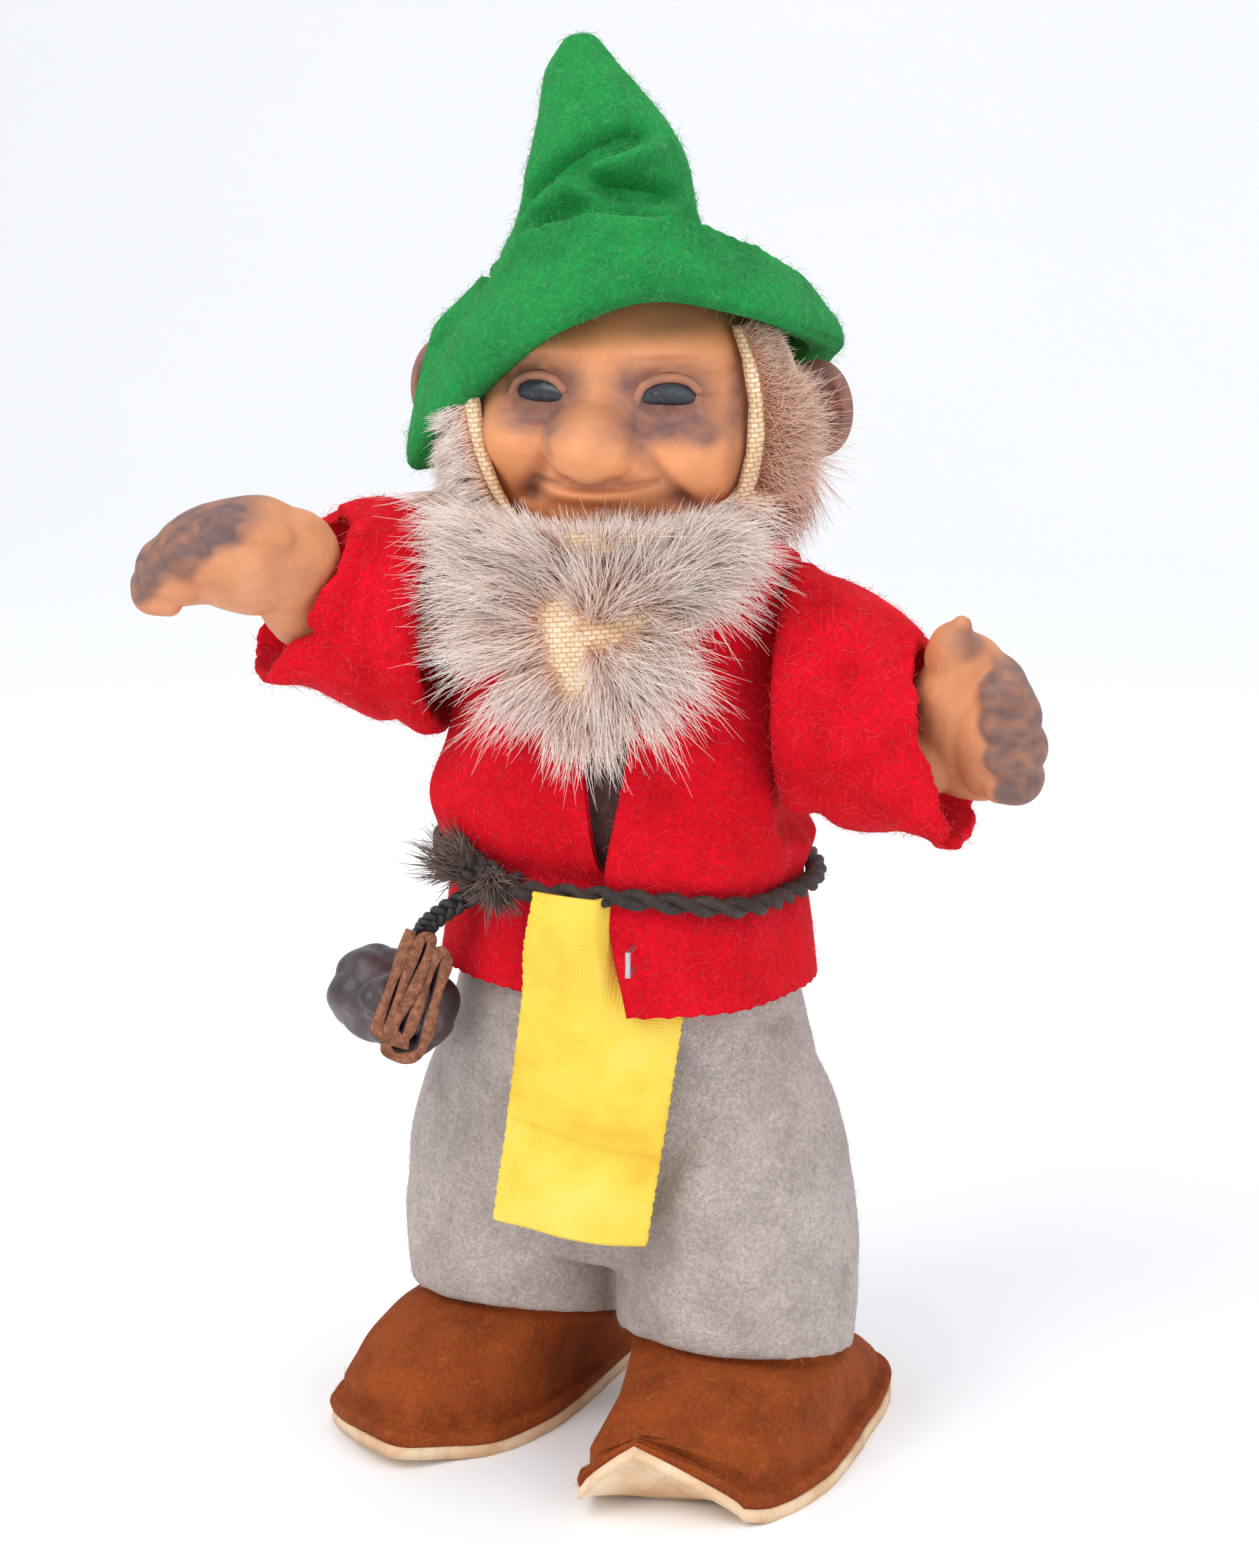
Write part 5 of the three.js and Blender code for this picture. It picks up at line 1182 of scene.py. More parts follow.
tuft("knot_tuft_upper", by_knot(-1.0, 0.6, -0.2), knot_side * -1 + UP * 0.22 + knot_out * 0.35, 4.6, 0.3, 420, 62)
tuft("knot_tuft_high", by_knot(-1.4, 0.7, 0.9), knot_side * -0.85 + UP * 0.8 + knot_out * 0.1, 3.6, 0.2, 130, 64)
tuft("knot_tuft_lower", by_knot(2.2, 1.5, 0.6), knot_side * 1.0 - UP * 0.3 + knot_out * 0.45, 3.6, 0.42, 420, 63, 0.6)


# Tag: a strip of sized yellow linen, cut with plain edges and left blank. Its upper end goes up behind the
# lapped front and under the belt, and a bent wire staple through the felt holds it.
TAG_WIDTH = 15
TAG_LENGTH = 33.5
TAG_LEAN = math.radians(8)
TAG_THICKNESS = 0.4

linen = bpy.data.materials.new("sized_yellow_linen")
tree = blank_tree(linen)
where = add(tree, "ShaderNodeTexCoord").outputs["Object"]
turned = add(tree, "ShaderNodeMapping", Vector=where, Rotation=(0, -TAG_LEAN, 0))
warp = add(tree, "ShaderNodeTexWave", {"bands_direction": "X"}, Vector=turned.outputs[0], Scale=900.0,
           Distortion=1.2, Detail=2.0)
weft = add(tree, "ShaderNodeTexWave", {"bands_direction": "Z"}, Vector=turned.outputs[0], Scale=980.0,
           Distortion=1.2, Detail=2.0)
soil = add(tree, "ShaderNodeTexNoise", Vector=where, Scale=150.0, Detail=4.0)
fleck = add(tree, "ShaderNodeTexNoise", Vector=where, Scale=800.0, Detail=4.0, Roughness=0.75)
tone = ramp(tree, soil.outputs["Fac"], [(0.3, (0.86, 0.55, 0.055)), (0.5, (0.96, 0.7, 0.09)), (0.7, (0.98, 0.76, 0.15))])
threads = add(tree, "ShaderNodeMath", {"operation": "MULTIPLY"}, Input_0=warp.outputs["Fac"], Input_1=weft.outputs["Fac"])
shade = ramp(tree, threads.outputs[0], [(0.0, (0.94, 0.92, 0.88)), (0.7, (1.02, 1.02, 1.02))])
tone = blended(tree, 1.0, tone, shade, "MULTIPLY")
dirt = ramp(tree, fleck.outputs["Fac"], [(0.66, (1, 1, 1)), (0.74, (0.72, 0.6, 0.4))])
tone = blended(tree, 0.7, tone, dirt, "MULTIPLY")
bump = add(tree, "ShaderNodeBump", Strength=0.5, Distance=0.00012, Height=threads.outputs[0])
cloth = add(tree, "ShaderNodeBsdfPrincipled", Base_Color=tone, Roughness=0.85, Specular_IOR_Level=0.2,
            Normal=bump.outputs[0])
add(tree, "ShaderNodeOutputMaterial", Surface=cloth.outputs[0])


def tag_face(depth):
    down = np.linspace(0, TAG_LENGTH, 120)[:, None]
    across = np.linspace(-TAG_WIDTH / 2, TAG_WIDTH / 2, 54)[None]
    rough = 0.1 * np.sin(down * 7.1) * np.sin(down * 2.3) * np.sign(across) * smooth(0.92, 1, np.abs(across) * 2 / TAG_WIDTH)
    across = (across + rough) * mix(0.9, 1, smooth(0, 8, down))
    x = 2.5 + across * math.cos(TAG_LEAN) - down * math.sin(TAG_LEAN) + 0.3 * smooth(0, 14, down)
    z = BELT_Z + 1.9 - down * math.cos(TAG_LEAN) - across * math.sin(TAG_LEAN) * 0.5
    a, b = along(JACKET_FORM, np.maximum(z, HEM_Z))
    hang = smooth(14, 33, down)
    wave = 0.32 * np.sin(across * 0.42 + 0.6) * hang + 0.5 * bell(across + 7.5, 2.2) * smooth(24, 33.5, down)
    fold = 0.28 * bell(down - 23.6 - 0.12 * across, 0.35) + 0.35 * smooth(23, 30, down)
    over_belt = 3.5 * (1 - smooth(2.0, 12.0, down)) * smooth(3.2, 1.4, x)
    off = 0.7 + depth + wave + fold + over_belt
    y = -(b + off) * np.sqrt(np.maximum(1 - (x / (a + off)) ** 2, 0.02))
    return np.stack(np.broadcast_arrays(x, y, z), -1)


tag = outwards(cloth_sheet("blank_linen_tag", tag_face(TAG_THICKNESS), tag_face(0.0), linen))
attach(tag, "doll_body")
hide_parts("hang_tag")

tag_threads = fibres("linen_threads", (0.9, 0.62, 0.09), (0.98, 0.85, 0.4))


def tag_edge(points, normals):
    middle = 0.4 - (BELT_Z + 1.4 - points[:, 2]) * math.tan(TAG_LEAN) + 3.4
    return (np.abs(points[:, 0] - middle) > TAG_WIDTH / 2 - 0.8) * (points[:, 2] < 48) + 0.02


fuzz(tag, 260, 0.7, tag_threads, "doll_body", 66, lift=0.5, keep=tag_edge, thickness=0.04)


def metal(name, colour, roughness):
    """Bare drawn metal with fine scratches."""
    material = bpy.data.materials.new(name)
    tree = blank_tree(material)
    where = add(tree, "ShaderNodeTexCoord").outputs["Object"]
    scratch = add(tree, "ShaderNodeTexNoise", Vector=where, Scale=2600.0, Detail=3.0)
    tone = ramp(tree, scratch.outputs["Fac"], [(0.3, tuple(c * 0.7 for c in colour)), (0.7, colour)])
    rough = add(tree, "ShaderNodeMapRange", Value=scratch.outputs["Fac"], To_Min=roughness - 0.1, To_Max=roughness + 0.15)
    steel = add(tree, "ShaderNodeBsdfPrincipled", Base_Color=tone, Metallic=1.0, Roughness=rough.outputs[0])
    add(tree, "ShaderNodeOutputMaterial", Surface=steel.outputs[0])
    return material


def dressed(node, material):
    """A CAD piece keeps its shape and gets its real finish."""
    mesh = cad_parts[node].data
    mesh.materials.clear()
    mesh.materials.append(material)


wire = metal("bright_wire", (0.62, 0.62, 0.64), 0.35)
dressed("tag_staple", wire)


# Pouch: a disc of dark soft leather drawn up into a ball, its raw edge folded to and fro at the mouth, on
# a plaited black thong that hangs from the belt's knot and lets it swing from the hip.
POUCH_CENTRE = np.array([-21.6, -9.6, 43.2])
POUCH_RADIUS = 5.25
leather = bpy.data.materials.new("dark_pouch_leather")
tree = blank_tree(leather)
where = add(tree, "ShaderNodeTexCoord").outputs["Object"]
hue = add(tree, "ShaderNodeTexNoise", Vector=where, Scale=240.0, Detail=3.0)
grain = add(tree, "ShaderNodeTexVoronoi", {"feature": "DISTANCE_TO_EDGE"}, Vector=where, Scale=1500.0)
tone = ramp(tree, hue.outputs["Fac"], [(0.35, (0.03, 0.02, 0.021)), (0.55, (0.075, 0.05, 0.053)), (0.72, (0.17, 0.125, 0.14))])
bump = add(tree, "ShaderNodeBump", Strength=0.4, Distance=0.00008, Height=grain.outputs["Distance"])
hide = add(tree, "ShaderNodeBsdfPrincipled", Base_Color=tone, Roughness=0.42, Specular_IOR_Level=0.5, Normal=bump.outputs[0])
add(tree, "ShaderNodeOutputMaterial", Surface=hide.outputs[0])

raw_edge = bpy.data.materials.new("raw_leather_edge")
tree = blank_tree(raw_edge)
where = add(tree, "ShaderNodeTexCoord").outputs["Object"]
nap = add(tree, "ShaderNodeTexNoise", Vector=where, Scale=1500.0, Detail=4.0, Roughness=0.75)
tone = ramp(tree, nap.outputs["Fac"], [(0.35, (0.13, 0.045, 0.022)), (0.55, (0.3, 0.115, 0.06)), (0.7, (0.42, 0.18, 0.1))])
bump = add(tree, "ShaderNodeBump", Strength=0.8, Distance=0.00015, Height=nap.outputs["Fac"])
suede = add(tree, "ShaderNodeBsdfPrincipled", Base_Color=tone, Roughness=0.95, Normal=bump.outputs[0])
add(tree, "ShaderNodeOutputMaterial", Surface=suede.outputs[0])


def pouch_folds(points, normals):
    """Gathered leather: pleats that run out from the mouth, and soft facets between them."""
    off = points - POUCH_CENTRE - (1.8, -4.0, 0)
    pleat = np.arctan2(off[:, 2], off[:, 0])
    ridges = 0.42 * np.abs(np.sin(pleat * 3.5 + 0.6 * np.sin(off[:, 1]))) - 0.25
    return ridges * smooth(0, 2.5, np.hypot(off[:, 0], off[:, 2])) + 0.4 * lumps(points, 2.6, 8.0)


x, y, z = POUCH_CENTRE
blobs = [
    ball((x - 0.6, y + 0.4, z + 0.5), (POUCH_RADIUS * 0.93, POUCH_RADIUS * 0.8, POUCH_RADIUS * 0.86)),
    ball((x + 2.8, y - 1.2, z - 1.2), (POUCH_RADIUS * 0.72, POUCH_RADIUS * 0.68, POUCH_RADIUS * 0.74)),
    limb([(x + 1.8, y - 2, z + 0.4, 3.4), (x + 1.6, y - 4.2, z + 1.4, 2.4)]),
    ball((x + 5.2, y - 3.0, z + 0.6), (2.9, 2.7, 3.4)),
]
pouch = moulded("pouch_ball", blobs, leather, 0.3, 4, pouch_folds)
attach(pouch, "pouch_group")
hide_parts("pouch")

# the folded raw edge as it is seen: right and up from its middle, from the free upper end down to the loop
FOLDS = [
    (0.2, 6.1), (-1.3, 1.9), (-3.0, -2.9), (-3.0, -3.9), (-2.1, -3.7), (-0.6, 0.8), (0.9, 5.0), (1.7, 5.4),
    (2.0, 4.5), (0.6, 0.9), (-1.4, -3.1), (-1.3, -4.2), (-0.3, -4.0), (1.2, 0.0), (2.5, 3.6), (3.3, 3.8),
    (3.4, 2.6), (2.4, -0.6), (1.5, -4.2), (0.6, -6.0), (-1.1, -6.3), (-2.2, -5.6), (-1.9, -4.8), (-0.2, -4.9),
]
EDGE_WALL = 1.0
line = along([(k, *p) for k, p in enumerate(FOLDS)], np.linspace(0, len(FOLDS) - 1, 240)).T
way = unit(np.gradient(line, axis=0))
across = np.column_stack([-way[:, 1], way[:, 0]])
wall = EDGE_WALL / 2 * (1 + 0.18 * np.sin(np.arange(240) * 0.35))[:, None]
middle_seen = np.array(seen(-20.2, 12.0, 46.1))
right_way = unit(np.array(seen(1, 0, 0)))
near_way = unit(np.array(seen(0.2, 1, 0.12)))
rings = []
for side_k, deep in ((1, -3.4), (1, -1.2), (1, -0.15), (0.7, 0.0), (-0.7, 0.0), (-1, -0.15), (-1, -1.2), (-1, -3.4)):
    squeeze = 1 - 0.34 * smooth(-0.3, -3.4, deep)
    flat = (line + across * wall * side_k) * squeeze
    uneven = 0.16 * np.sin(np.arange(240) * 0.21 + 1)[:, None] * (deep > -1)
    rings.append(middle_seen + flat[:, :1] * right_way + flat[:, 1:] * UP + (near_way * (deep + uneven)))
band = np.array(rings).transpose(1, 0, 2)
points, faces = loft(band)
frill = outwards(mesh_object("pouch_raw_edge", points, faces, leather))
frill.data.materials.append(raw_edge)
for polygon in frill.data.polygons:
    flat_corner = [v % 8 for v in polygon.vertices]
    if len(flat_corner) == 4 and set(flat_corner) <= {2, 3, 4, 5}:
        polygon.material_index = 1
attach(frill, "pouch_group")

thong_leather = cord_finish("black_thong", (0.012, 0.009, 0.01), (0.035, 0.026, 0.026), 0.5, 900.0)
start = by_knot(-1.6, 0.4, -2.2)
end = middle_seen + right_way * 1.6 + UP * 5.4 - near_way * 2.4
bow = np.array((-0.7, -0.6, -0.1))
knots = [start, mix(start, end, 0.35) + bow, mix(start, end, 0.7) + bow, end, end - UP * 2.2 - right_way * 1.0]
line = along([(k, *p) for k, p in enumerate(knots)], np.linspace(0, 4, 90)).T
t = np.linspace(0, 1, 90)[:, None] * 2 * math.pi * 3.2
parts = []
way = unit(np.gradient(line, axis=0))
side = unit(np.cross(near_way, way))
top = np.cross(way, side)
for k in range(3):
    phase = k * 2 * math.pi / 3
    strand = line + side * np.sin(t + phase) * 0.62 + top * np.sin(2 * (t + phase)) * 0.32
    parts.append(ply(strand, 0.42, 0.0, 0, 0))
thong = outwards(mesh_object("pouch_plaited_thong", *joined(parts), thong_leather))
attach(thong, "pouch_group")
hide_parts("pouch_thong")


# Head: moulded in soft vinyl as a hollow shell with round ears. A thin purple-brown wash lies round the eyes, under
# the nose, at the mouth and on the ears, partly the doll's paint and partly painted shade in these hollows. It turns
# three degrees to its left.
HEAD_Z = 98.5
HEAD = np.array((15.2, 15.2, 14.5))
HEAD_TURN = math.radians(3)
HEAD_FOOT_Z = 88
NECK_BORE = 7.0
EYE_X = 5.8
EYE_Z = 2.4
# x and height on the face, width, height, how far it stands out
FACE = [
    (0, -1, 11, 9.5, 1.1), (-0.8, -1.0, 3.0, 2.4, 1.6), (-0.3, 3.0, 1.5, 2.4, 0.7),
    (-2.8, -3.9, 0.9, 0.6, -1.0), (1.2, -3.9, 0.9, 0.6, -1.0), (3.4, -1.6, 1.3, 1.7, 1.5),
    (-8.9, -0.95, 3.4, 3.1, 2.7), (8.3, -2.8, 3.9, 3.4, 2.6), (-EYE_X, 3.7, 3.4, 2.2, -2.3), (EYE_X, 3.7, 3.4, 2.2, -2.3),
    (-EYE_X, 1.5, 2.8, 0.7, 0.6), (EYE_X, 1.5, 2.8, 0.7, 0.6), (-5.6, 7.3, 4.6, 1.7, 1.2), (5.6, 7.3, 4.6, 1.7, 1.2),
    (0, 8.5, 2.4, 2.2, 0.4), (-0.8, -4.4, 3.2, 0.6, 0.3), (-1.0, -5.6, 3.3, 0.8, 1.4), (-0.8, -6.9, 3.0, 0.7, -0.5),
    (0, -10.4, 4.6, 2.4, 1.4), (-6.4, -5.7, 1.1, 1.0, -1.0), (6.4, -5.9, 1.1, 1.0, -1.0),
    (9.5, -0.1, 0.6, 0.55, 0.75), (9.6, -0.05, 0.22, 0.2, -0.4), (5.6, 6.3, 3.6, 0.4, -0.3), (-5.6, 6.3, 3.6, 0.4, -0.3),
]
NOSE_RISE = 4.6
# folds and lines: points along the line (x, height), width, depth
FACE_LINES = [
    ([(3.9, -1.4), (5.0, -3.0), (6.6, -5.0), (7.4, -6.6)], 0.75, -0.95),
    ([(-3.9, -1.4), (-5.0, -3.0), (-6.6, -5.0), (-7.2, -6.4)], 0.75, -0.95),
    ([(-6.2, -4.3), (-3.6, -4.8), (-0.8, -4.75), (2.2, -4.8), (5.0, -4.2)], 0.34, -0.6),
    ([(-8.4, 2.4), (-7.4, 4.8), (-5.6, 5.2), (-3.6, 4.1), (-3.1, 2.8)], 0.4, 0.5),
    ([(8.6, 2.2), (7.5, 4.7), (5.7, 5.2), (3.7, 4.1), (3.1, 2.8)], 0.4, 0.5),
    ([(3.5, 0.8), (5.2, 0.1), (7.4, 0.6)], 0.55, -0.4), ([(-4.3, 0.9), (-5.6, 0.3), (-7.6, 0.6)], 0.55, -0.4),
    ([(9.0, 4.6), (11.2, 5.2)], 0.35, -0.25),
    ([(9.2, 3.4), (11.4, 3.2)], 0.35, -0.25), ([(-9.0, 4.4), (-11.0, 5.0)], 0.35, -0.25),
]


def off_line(x, z, line):
    """Distance from points of the face to a drawn line."""
    best = np.full(np.shape(x), 99.0)
    for (ax, az), (bx, bz) in zip(line, line[1:]):
        dx, dz = bx - ax, bz - az
        t = np.clip(((x - ax) * dx + (z - az) * dz) / (dx * dx + dz * dz), 0, 1)
        best = np.minimum(best, np.hypot(x - ax - t * dx, z - az - t * dz))
    return best


def face_rise(x, z):
    rise = sum(up * np.exp(-((x - fx) / wide) ** 2 - ((z - fz) / high) ** 2) for fx, fz, wide, high, up in FACE)
    rise = rise + NOSE_RISE * np.clip(1 - ((x + 0.8) / 4.4) ** 2 - ((z + 0.8) / 3.7) ** 2, 0, 1) ** 0.7
    return rise + sum(depth * bell(off_line(x, z, line), width) for line, width, depth in FACE_LINES)


def face_y(x, z):
    """How far the face stands at a place on it, from the head's middle."""
    ball_y = HEAD[1] * np.sqrt(np.maximum(1 - (x / HEAD[0]) ** 2 - (z / HEAD[2]) ** 2, 0.01))
    return -ball_y - face_rise(x, z) * smooth(0, 7, ball_y)


def on_neck(points, turn=HEAD_TURN):
    """From the head's own frame to where it sits and how it is turned."""
    p = np.asarray(points, float)
    x = p[..., 0] * math.cos(turn) - p[..., 1] * math.sin(turn)
    y = p[..., 0] * math.sin(turn) + p[..., 1] * math.cos(turn)
    return np.stack([x, y, p[..., 2] + HEAD_Z], -1)


def off_neck(points):
    """From the doll's frame into the head's own frame."""
    x, y = points[:, 0], points[:, 1]
    c, s = math.cos(HEAD_TURN), math.sin(HEAD_TURN)
    return np.column_stack([x * c + y * s, -x * s + y * c, points[:, 2] - HEAD_Z])


def face_wash_and_shade(points):
    """Where the purple-brown wash lies on the head: partly the doll's paint, partly painted shade in its hollows and
    creases and along the face's sides.
    """
    x, y, z = off_neck(points).T
    front = smooth(0, 6, -y)

    def shade_pool(px, pz, wide, high):
        return np.exp(-((x - px) / wide) ** 2 - ((z - pz) / high) ** 2)

    # painted shade pooled in the eye sockets, round the nose and at the mouth, over the doll's own paint
    dark = 1.2 * shade_pool(EYE_X, 3.3, 4.2, 2.8) + 1.2 * shade_pool(-EYE_X, 3.3, 4.0, 2.8) + 0.7 * shade_pool(6.4, 0.7, 4.6, 1.4)
    dark += 0.4 * shade_pool(-6.2, 0.9, 3.6, 1.0) + 0.35 * shade_pool(5.6, 9.0, 3.4, 0.8) + 0.4 * shade_pool(2.4, 4.6, 1.3, 1.8)
    dark += 0.35 * shade_pool(-2.5, 4.4, 1.2, 1.6) + 0.4 * shade_pool(0.8, -4.2, 2.6, 0.6) + 0.3 * shade_pool(-2.8, -4.0, 2.0, 0.8)
    dark += 0.6 * shade_pool(6.6, -5.8, 1.8, 1.0) + 0.6 * shade_pool(-6.6, -5.6, 1.8, 1.0) + 0.8 * shade_pool(9.4, -0.4, 1.0, 0.8)
    dark += 0.4 * shade_pool(3.9, 0.6, 0.8, 2.2) + 0.3 * shade_pool(-3.9, 0.6, 0.8, 2.0) + 0.4 * shade_pool(0, -7.9, 3.4, 0.7)
    for line, width, depth in FACE_LINES[:3]:
        dark += 0.28 * bell(off_line(x, z, line), width * 1.3)
    # painted shade along both sides of the face
    dark += 0.5 * smooth(10.2, 11.5, x) + 0.5 * smooth(9.8, 11.5, -x)
    ear = smooth(15.4, 16.6, np.abs(x)) * 0.95
    return np.maximum(dark * front, ear)


# the fourth colour is the wash: the doll's paint and painted shade in one
face_vinyl = vinyl("face_vinyl", (0.84, 0.345, 0.15), (0.78, 0.305, 0.128), (0.23, 0.112, 0.095), (0.88, 0.38, 0.175))
columns, rows = 260, 190
t = circle(columns)
turns = (t - 0.5 * np.sin(t))[None]
lift = np.linspace(math.radians(88), math.asin((HEAD_FOOT_Z + 0.6 - HEAD_Z) / HEAD[2]), rows)[:, None]
way = np.stack(np.broadcast_arrays(np.sin(turns) * np.cos(lift), -np.cos(turns) * np.cos(lift), np.sin(lift)), -1)
outer = way / np.linalg.norm(way / HEAD, axis=2, keepdims=True)
rise = face_rise(outer[..., 0], outer[..., 2]) * smooth(0, 7, -outer[..., 1])
outer[..., 1] -= rise
foot = HEAD_FOOT_Z - HEAD_Z
wheel = np.stack([np.sin(turns[0]), -np.cos(turns[0])], -1)
necks = [np.column_stack([wheel * r, np.full(columns, foot + up)]) for r, up in (
    (NECK_BORE + 1.6, 0), (NECK_BORE + 0.4, 0), (NECK_BORE, 0.3), (NECK_BORE, 1.6))]
inner = []
for up in np.radians(np.linspace(-34, 84, 24)):
    reach = np.array((12.6, 12.2, 13.1))
    inner.append(np.column_stack([wheel * reach[:2] * math.cos(up), np.full(columns, reach[2] * math.sin(up))]))
shell = loft([*outer, *necks, *inner])
parts = [(on_neck(shell[0]), shell[1])]


def ear_form(side):
    """A round ear: an outer rim, a bowl and a lobe."""
    points, faces = ball((0, 0, 0), (1, 1, 1), 64, 40)
    x, y, z = points.T
    radius = np.hypot(x * 1.02, z)
    rim = 0.25 * bell(radius - 0.82, 0.16)
    bowl = -0.75 * smooth(0.72, 0.2, radius) * (y < 0)
    fold = 0.3 * bell(np.hypot(x + 0.1, z - 0.1) - 0.45, 0.12) * (y < 0)
    y = y * 0.55 - (rim + fold) * (y < 0) - bowl
    out, up = (17.2, 0) if side > 0 else (17.6, 1.4)
    shape = np.column_stack([side * (x * 3.3 + out), y * 2.3 + 1.4, up + z * 4.8 * (1 - 0.12 * (z < 0) * np.abs(z))])
    return on_neck(shape), faces


parts += [ear_form(side) for side in (-1, 1)]
head = outwards(mesh_object("head_vinyl", *joined(parts), face_vinyl))
paint(head, "wash_and_shade", face_wash_and_shade)
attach(head, "head_group")
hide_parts("head_shell")

# eyes: half-moon inserts of dark glossy plastic with a straight lower edge, scuffed by age
eye_gloss = bpy.data.materials.new("eye_gloss")
tree = blank_tree(eye_gloss)
where = add(tree, "ShaderNodeTexCoord").outputs["Object"]
scuffs = add(tree, "ShaderNodeTexNoise", Vector=where, Scale=1500.0, Detail=4.0, Roughness=0.75, Distortion=1.0)
tone = ramp(tree, scuffs.outputs["Fac"], [(0.35, (0.012, 0.014, 0.02)), (0.6, (0.03, 0.036, 0.05)), (0.72, (0.14, 0.15, 0.19))])
rough = add(tree, "ShaderNodeMapRange", Value=scuffs.outputs["Fac"], To_Min=0.12, To_Max=0.5)
bump = add(tree, "ShaderNodeBump", Strength=0.35, Distance=0.00006, Height=scuffs.outputs["Fac"])
glass = add(tree, "ShaderNodeBsdfPrincipled", Base_Color=tone, Roughness=rough.outputs[0], Normal=bump.outputs[0])
add(tree, "ShaderNodeOutputMaterial", Surface=glass.outputs[0])

parts = []
lids = []
for side in (-1, 1):
    u = np.linspace(-1, 1, 41)[None]
    v = np.linspace(0, 1, 19)[:, None]
    arch = 2.25 * np.sqrt(1 - np.abs(u) ** 2.2)
    ex = side * EYE_X + 2.65 * u
    ez = EYE_Z - 0.12 * u * side + v * arch
    base_y = -np.sqrt(np.maximum(HEAD[1] ** 2 * (1 - (ex / HEAD[0]) ** 2 - (ez / HEAD[2]) ** 2), 1)) + 0.55
    dome = 0.55 * np.sqrt(np.maximum(1 - u ** 2, 0)) * np.sin(v * math.pi * 0.9 + 0.15)
    front = np.stack(np.broadcast_arrays(ex, base_y - dome - 0.1, ez), -1)
    back = front + (0, 1.2, 0)
    grid = np.concatenate([front.reshape(-1, 3), back.reshape(-1, 3)])
    faces = grid_faces(19, 41).tolist() + grid_faces(19, 41, start=19 * 41, flip=True).tolist()
    edge = [*range(41), *(41 * k + 40 for k in range(1, 19)), *range(19 * 41 - 2, 18 * 41 - 1, -1),
            *(41 * k for k in range(17, 0, -1))]
    for a, b in zip(edge, edge[1:] + edge[:1]):
        faces.append([a, b, b + 19 * 41, a + 19 * 41])
    parts.append((on_neck(grid), faces))
    arc = np.linspace(-1.08, 1.08, 30)
    height = EYE_Z - 0.05 + 2.35 * np.sqrt(np.maximum(1 - np.abs(arc / 1.08) ** 2.2, 0))
    lid_y = -np.sqrt(HEAD[1] ** 2 * (1 - ((side * EYE_X + 2.65 * arc) / HEAD[0]) ** 2 - (height / HEAD[2]) ** 2)) + 0.1
    lid = [(side * EYE_X + 2.65 * a, y, z, 0.42) for a, y, z in zip(arc, lid_y, height)]
    low = [(side * EYE_X + 2.65 * a, y, EYE_Z - 0.3 - 0.12 * a * side, 0.36) for a, y in zip(arc, lid_y)]
    for line in (lid, low):
        points, faces = limb(line[::3], 12)
        lids.append((on_neck(points), faces))
eyes = outwards(mesh_object("eye_inserts", *joined(parts), eye_gloss))
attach(eyes, "head_group")
lid_rolls = outwards(mesh_object("eyelid_rolls", *joined(lids), face_vinyl))
# the lid rolls carry the wash all over: painted shade round the eyes together with the doll's paint
paint(lid_rolls, "wash_and_shade", lambda p: np.full(len(p), 0.72))
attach(lid_rolls, "head_group")


# Hat: thick green wool felt, blocked as one piece, with its brim turned up into a cuff all round and its
# tall crown slumped, so that a deep crease runs slantwise round it. It is glued to the head.
HEAD_TOP_Z = 113
HAT_CUFF = 6.6
# angle from the front, lower edge above the head's middle, reach beyond the head, cuff height, cuff lean
BRIM = [
    (-180, -5.5, 3.4, 1.35, 0.7), (-150, -3, 3.4, 1.3, 1.1), (-122, 1.5, 3.2, 1.15, 2.6), (-105, 5.7, 2.9, 0.8, 3.5),
    (-90, 5.1, 3.5, 0.95, 4.4), (-76, -5.1, 5.3, 2.3, 6.8), (-62, -2.6, 4.6, 2.2, 6.6), (-50, 0.6, 3.7, 2.05, 5.7),
    (-32, 4.9, 2.3, 1.725, 4.6), (-5, 9.4, 2.2, 1.4, 4.2), (20, 11.6, 1.7, 1.17, 2.7), (51, 10.0, 2.2, 1.04, 3.4),
    (80, 7.3, 3.3, 1.02, 3.6), (104, 5.2, 4.1, 0.8, 2.3), (125, 1.5, 3.4, 1.0, 2.3), (150, -3, 3.4, 1.2, 1.0),
    (180, -5.5, 3.4, 1.35, 0.7),
]
HORN = [
    (-0.5, -2.2, 0.5, 9.6), (3, -2.1, 0.8, 8.3), (7, -2.3, 1.2, 7.5), (11, -2.9, 1.8, 6.2), (15.4, -4.6, 2.5, 3.9),
    (18.2, -5.1, 2.9, 2.0),
]
# creases in the slumped crown: start, end, width, depth
HAT_CREASES = [
    ((-7.0, 7.0, 124.0), (3.0, 8.0, 119.0), 1.5, -1.1), ((-5.0, 9.0, 117.0), (6.0, 9.0, 115.5), 1.3, -0.8),
    ((3.2, -1.0, 128.5), (5.2, 1.0, 122.5), 1.6, 0.5),
]
# the same on its front, as lines of (x, height): where the tip sinks behind the fold, the fold, and the
# small valley under it
HAT_LINES = [
    ([(5.8, 125.2), (3.6, 124.4), (-2.3, 122.2), (-6.4, 119.8), (-8.4, 117.4)], 0.95, -3.5),
    ([(6.0, 123.2), (3.0, 122.7), (-1.2, 120.7), (-4.8, 118.8), (-7.6, 115.6)], 1.35, 1.5),
    ([(-2.6, 119.9), (0.6, 119.0), (5.0, 118.2)], 0.95, -2.4), ([(-6.0, 117.2), (-3.0, 119.0)], 1.4, 0.5),
]


def horn_at(rise, angle, inset=0.0):
    x, y, r = along(HORN, np.broadcast_to(rise, np.shape(angle)))
    return np.stack([x + (r - inset) * np.sin(angle), y - (r - inset) * np.cos(angle), HEAD_TOP_Z + rise + 0 * x], -1)


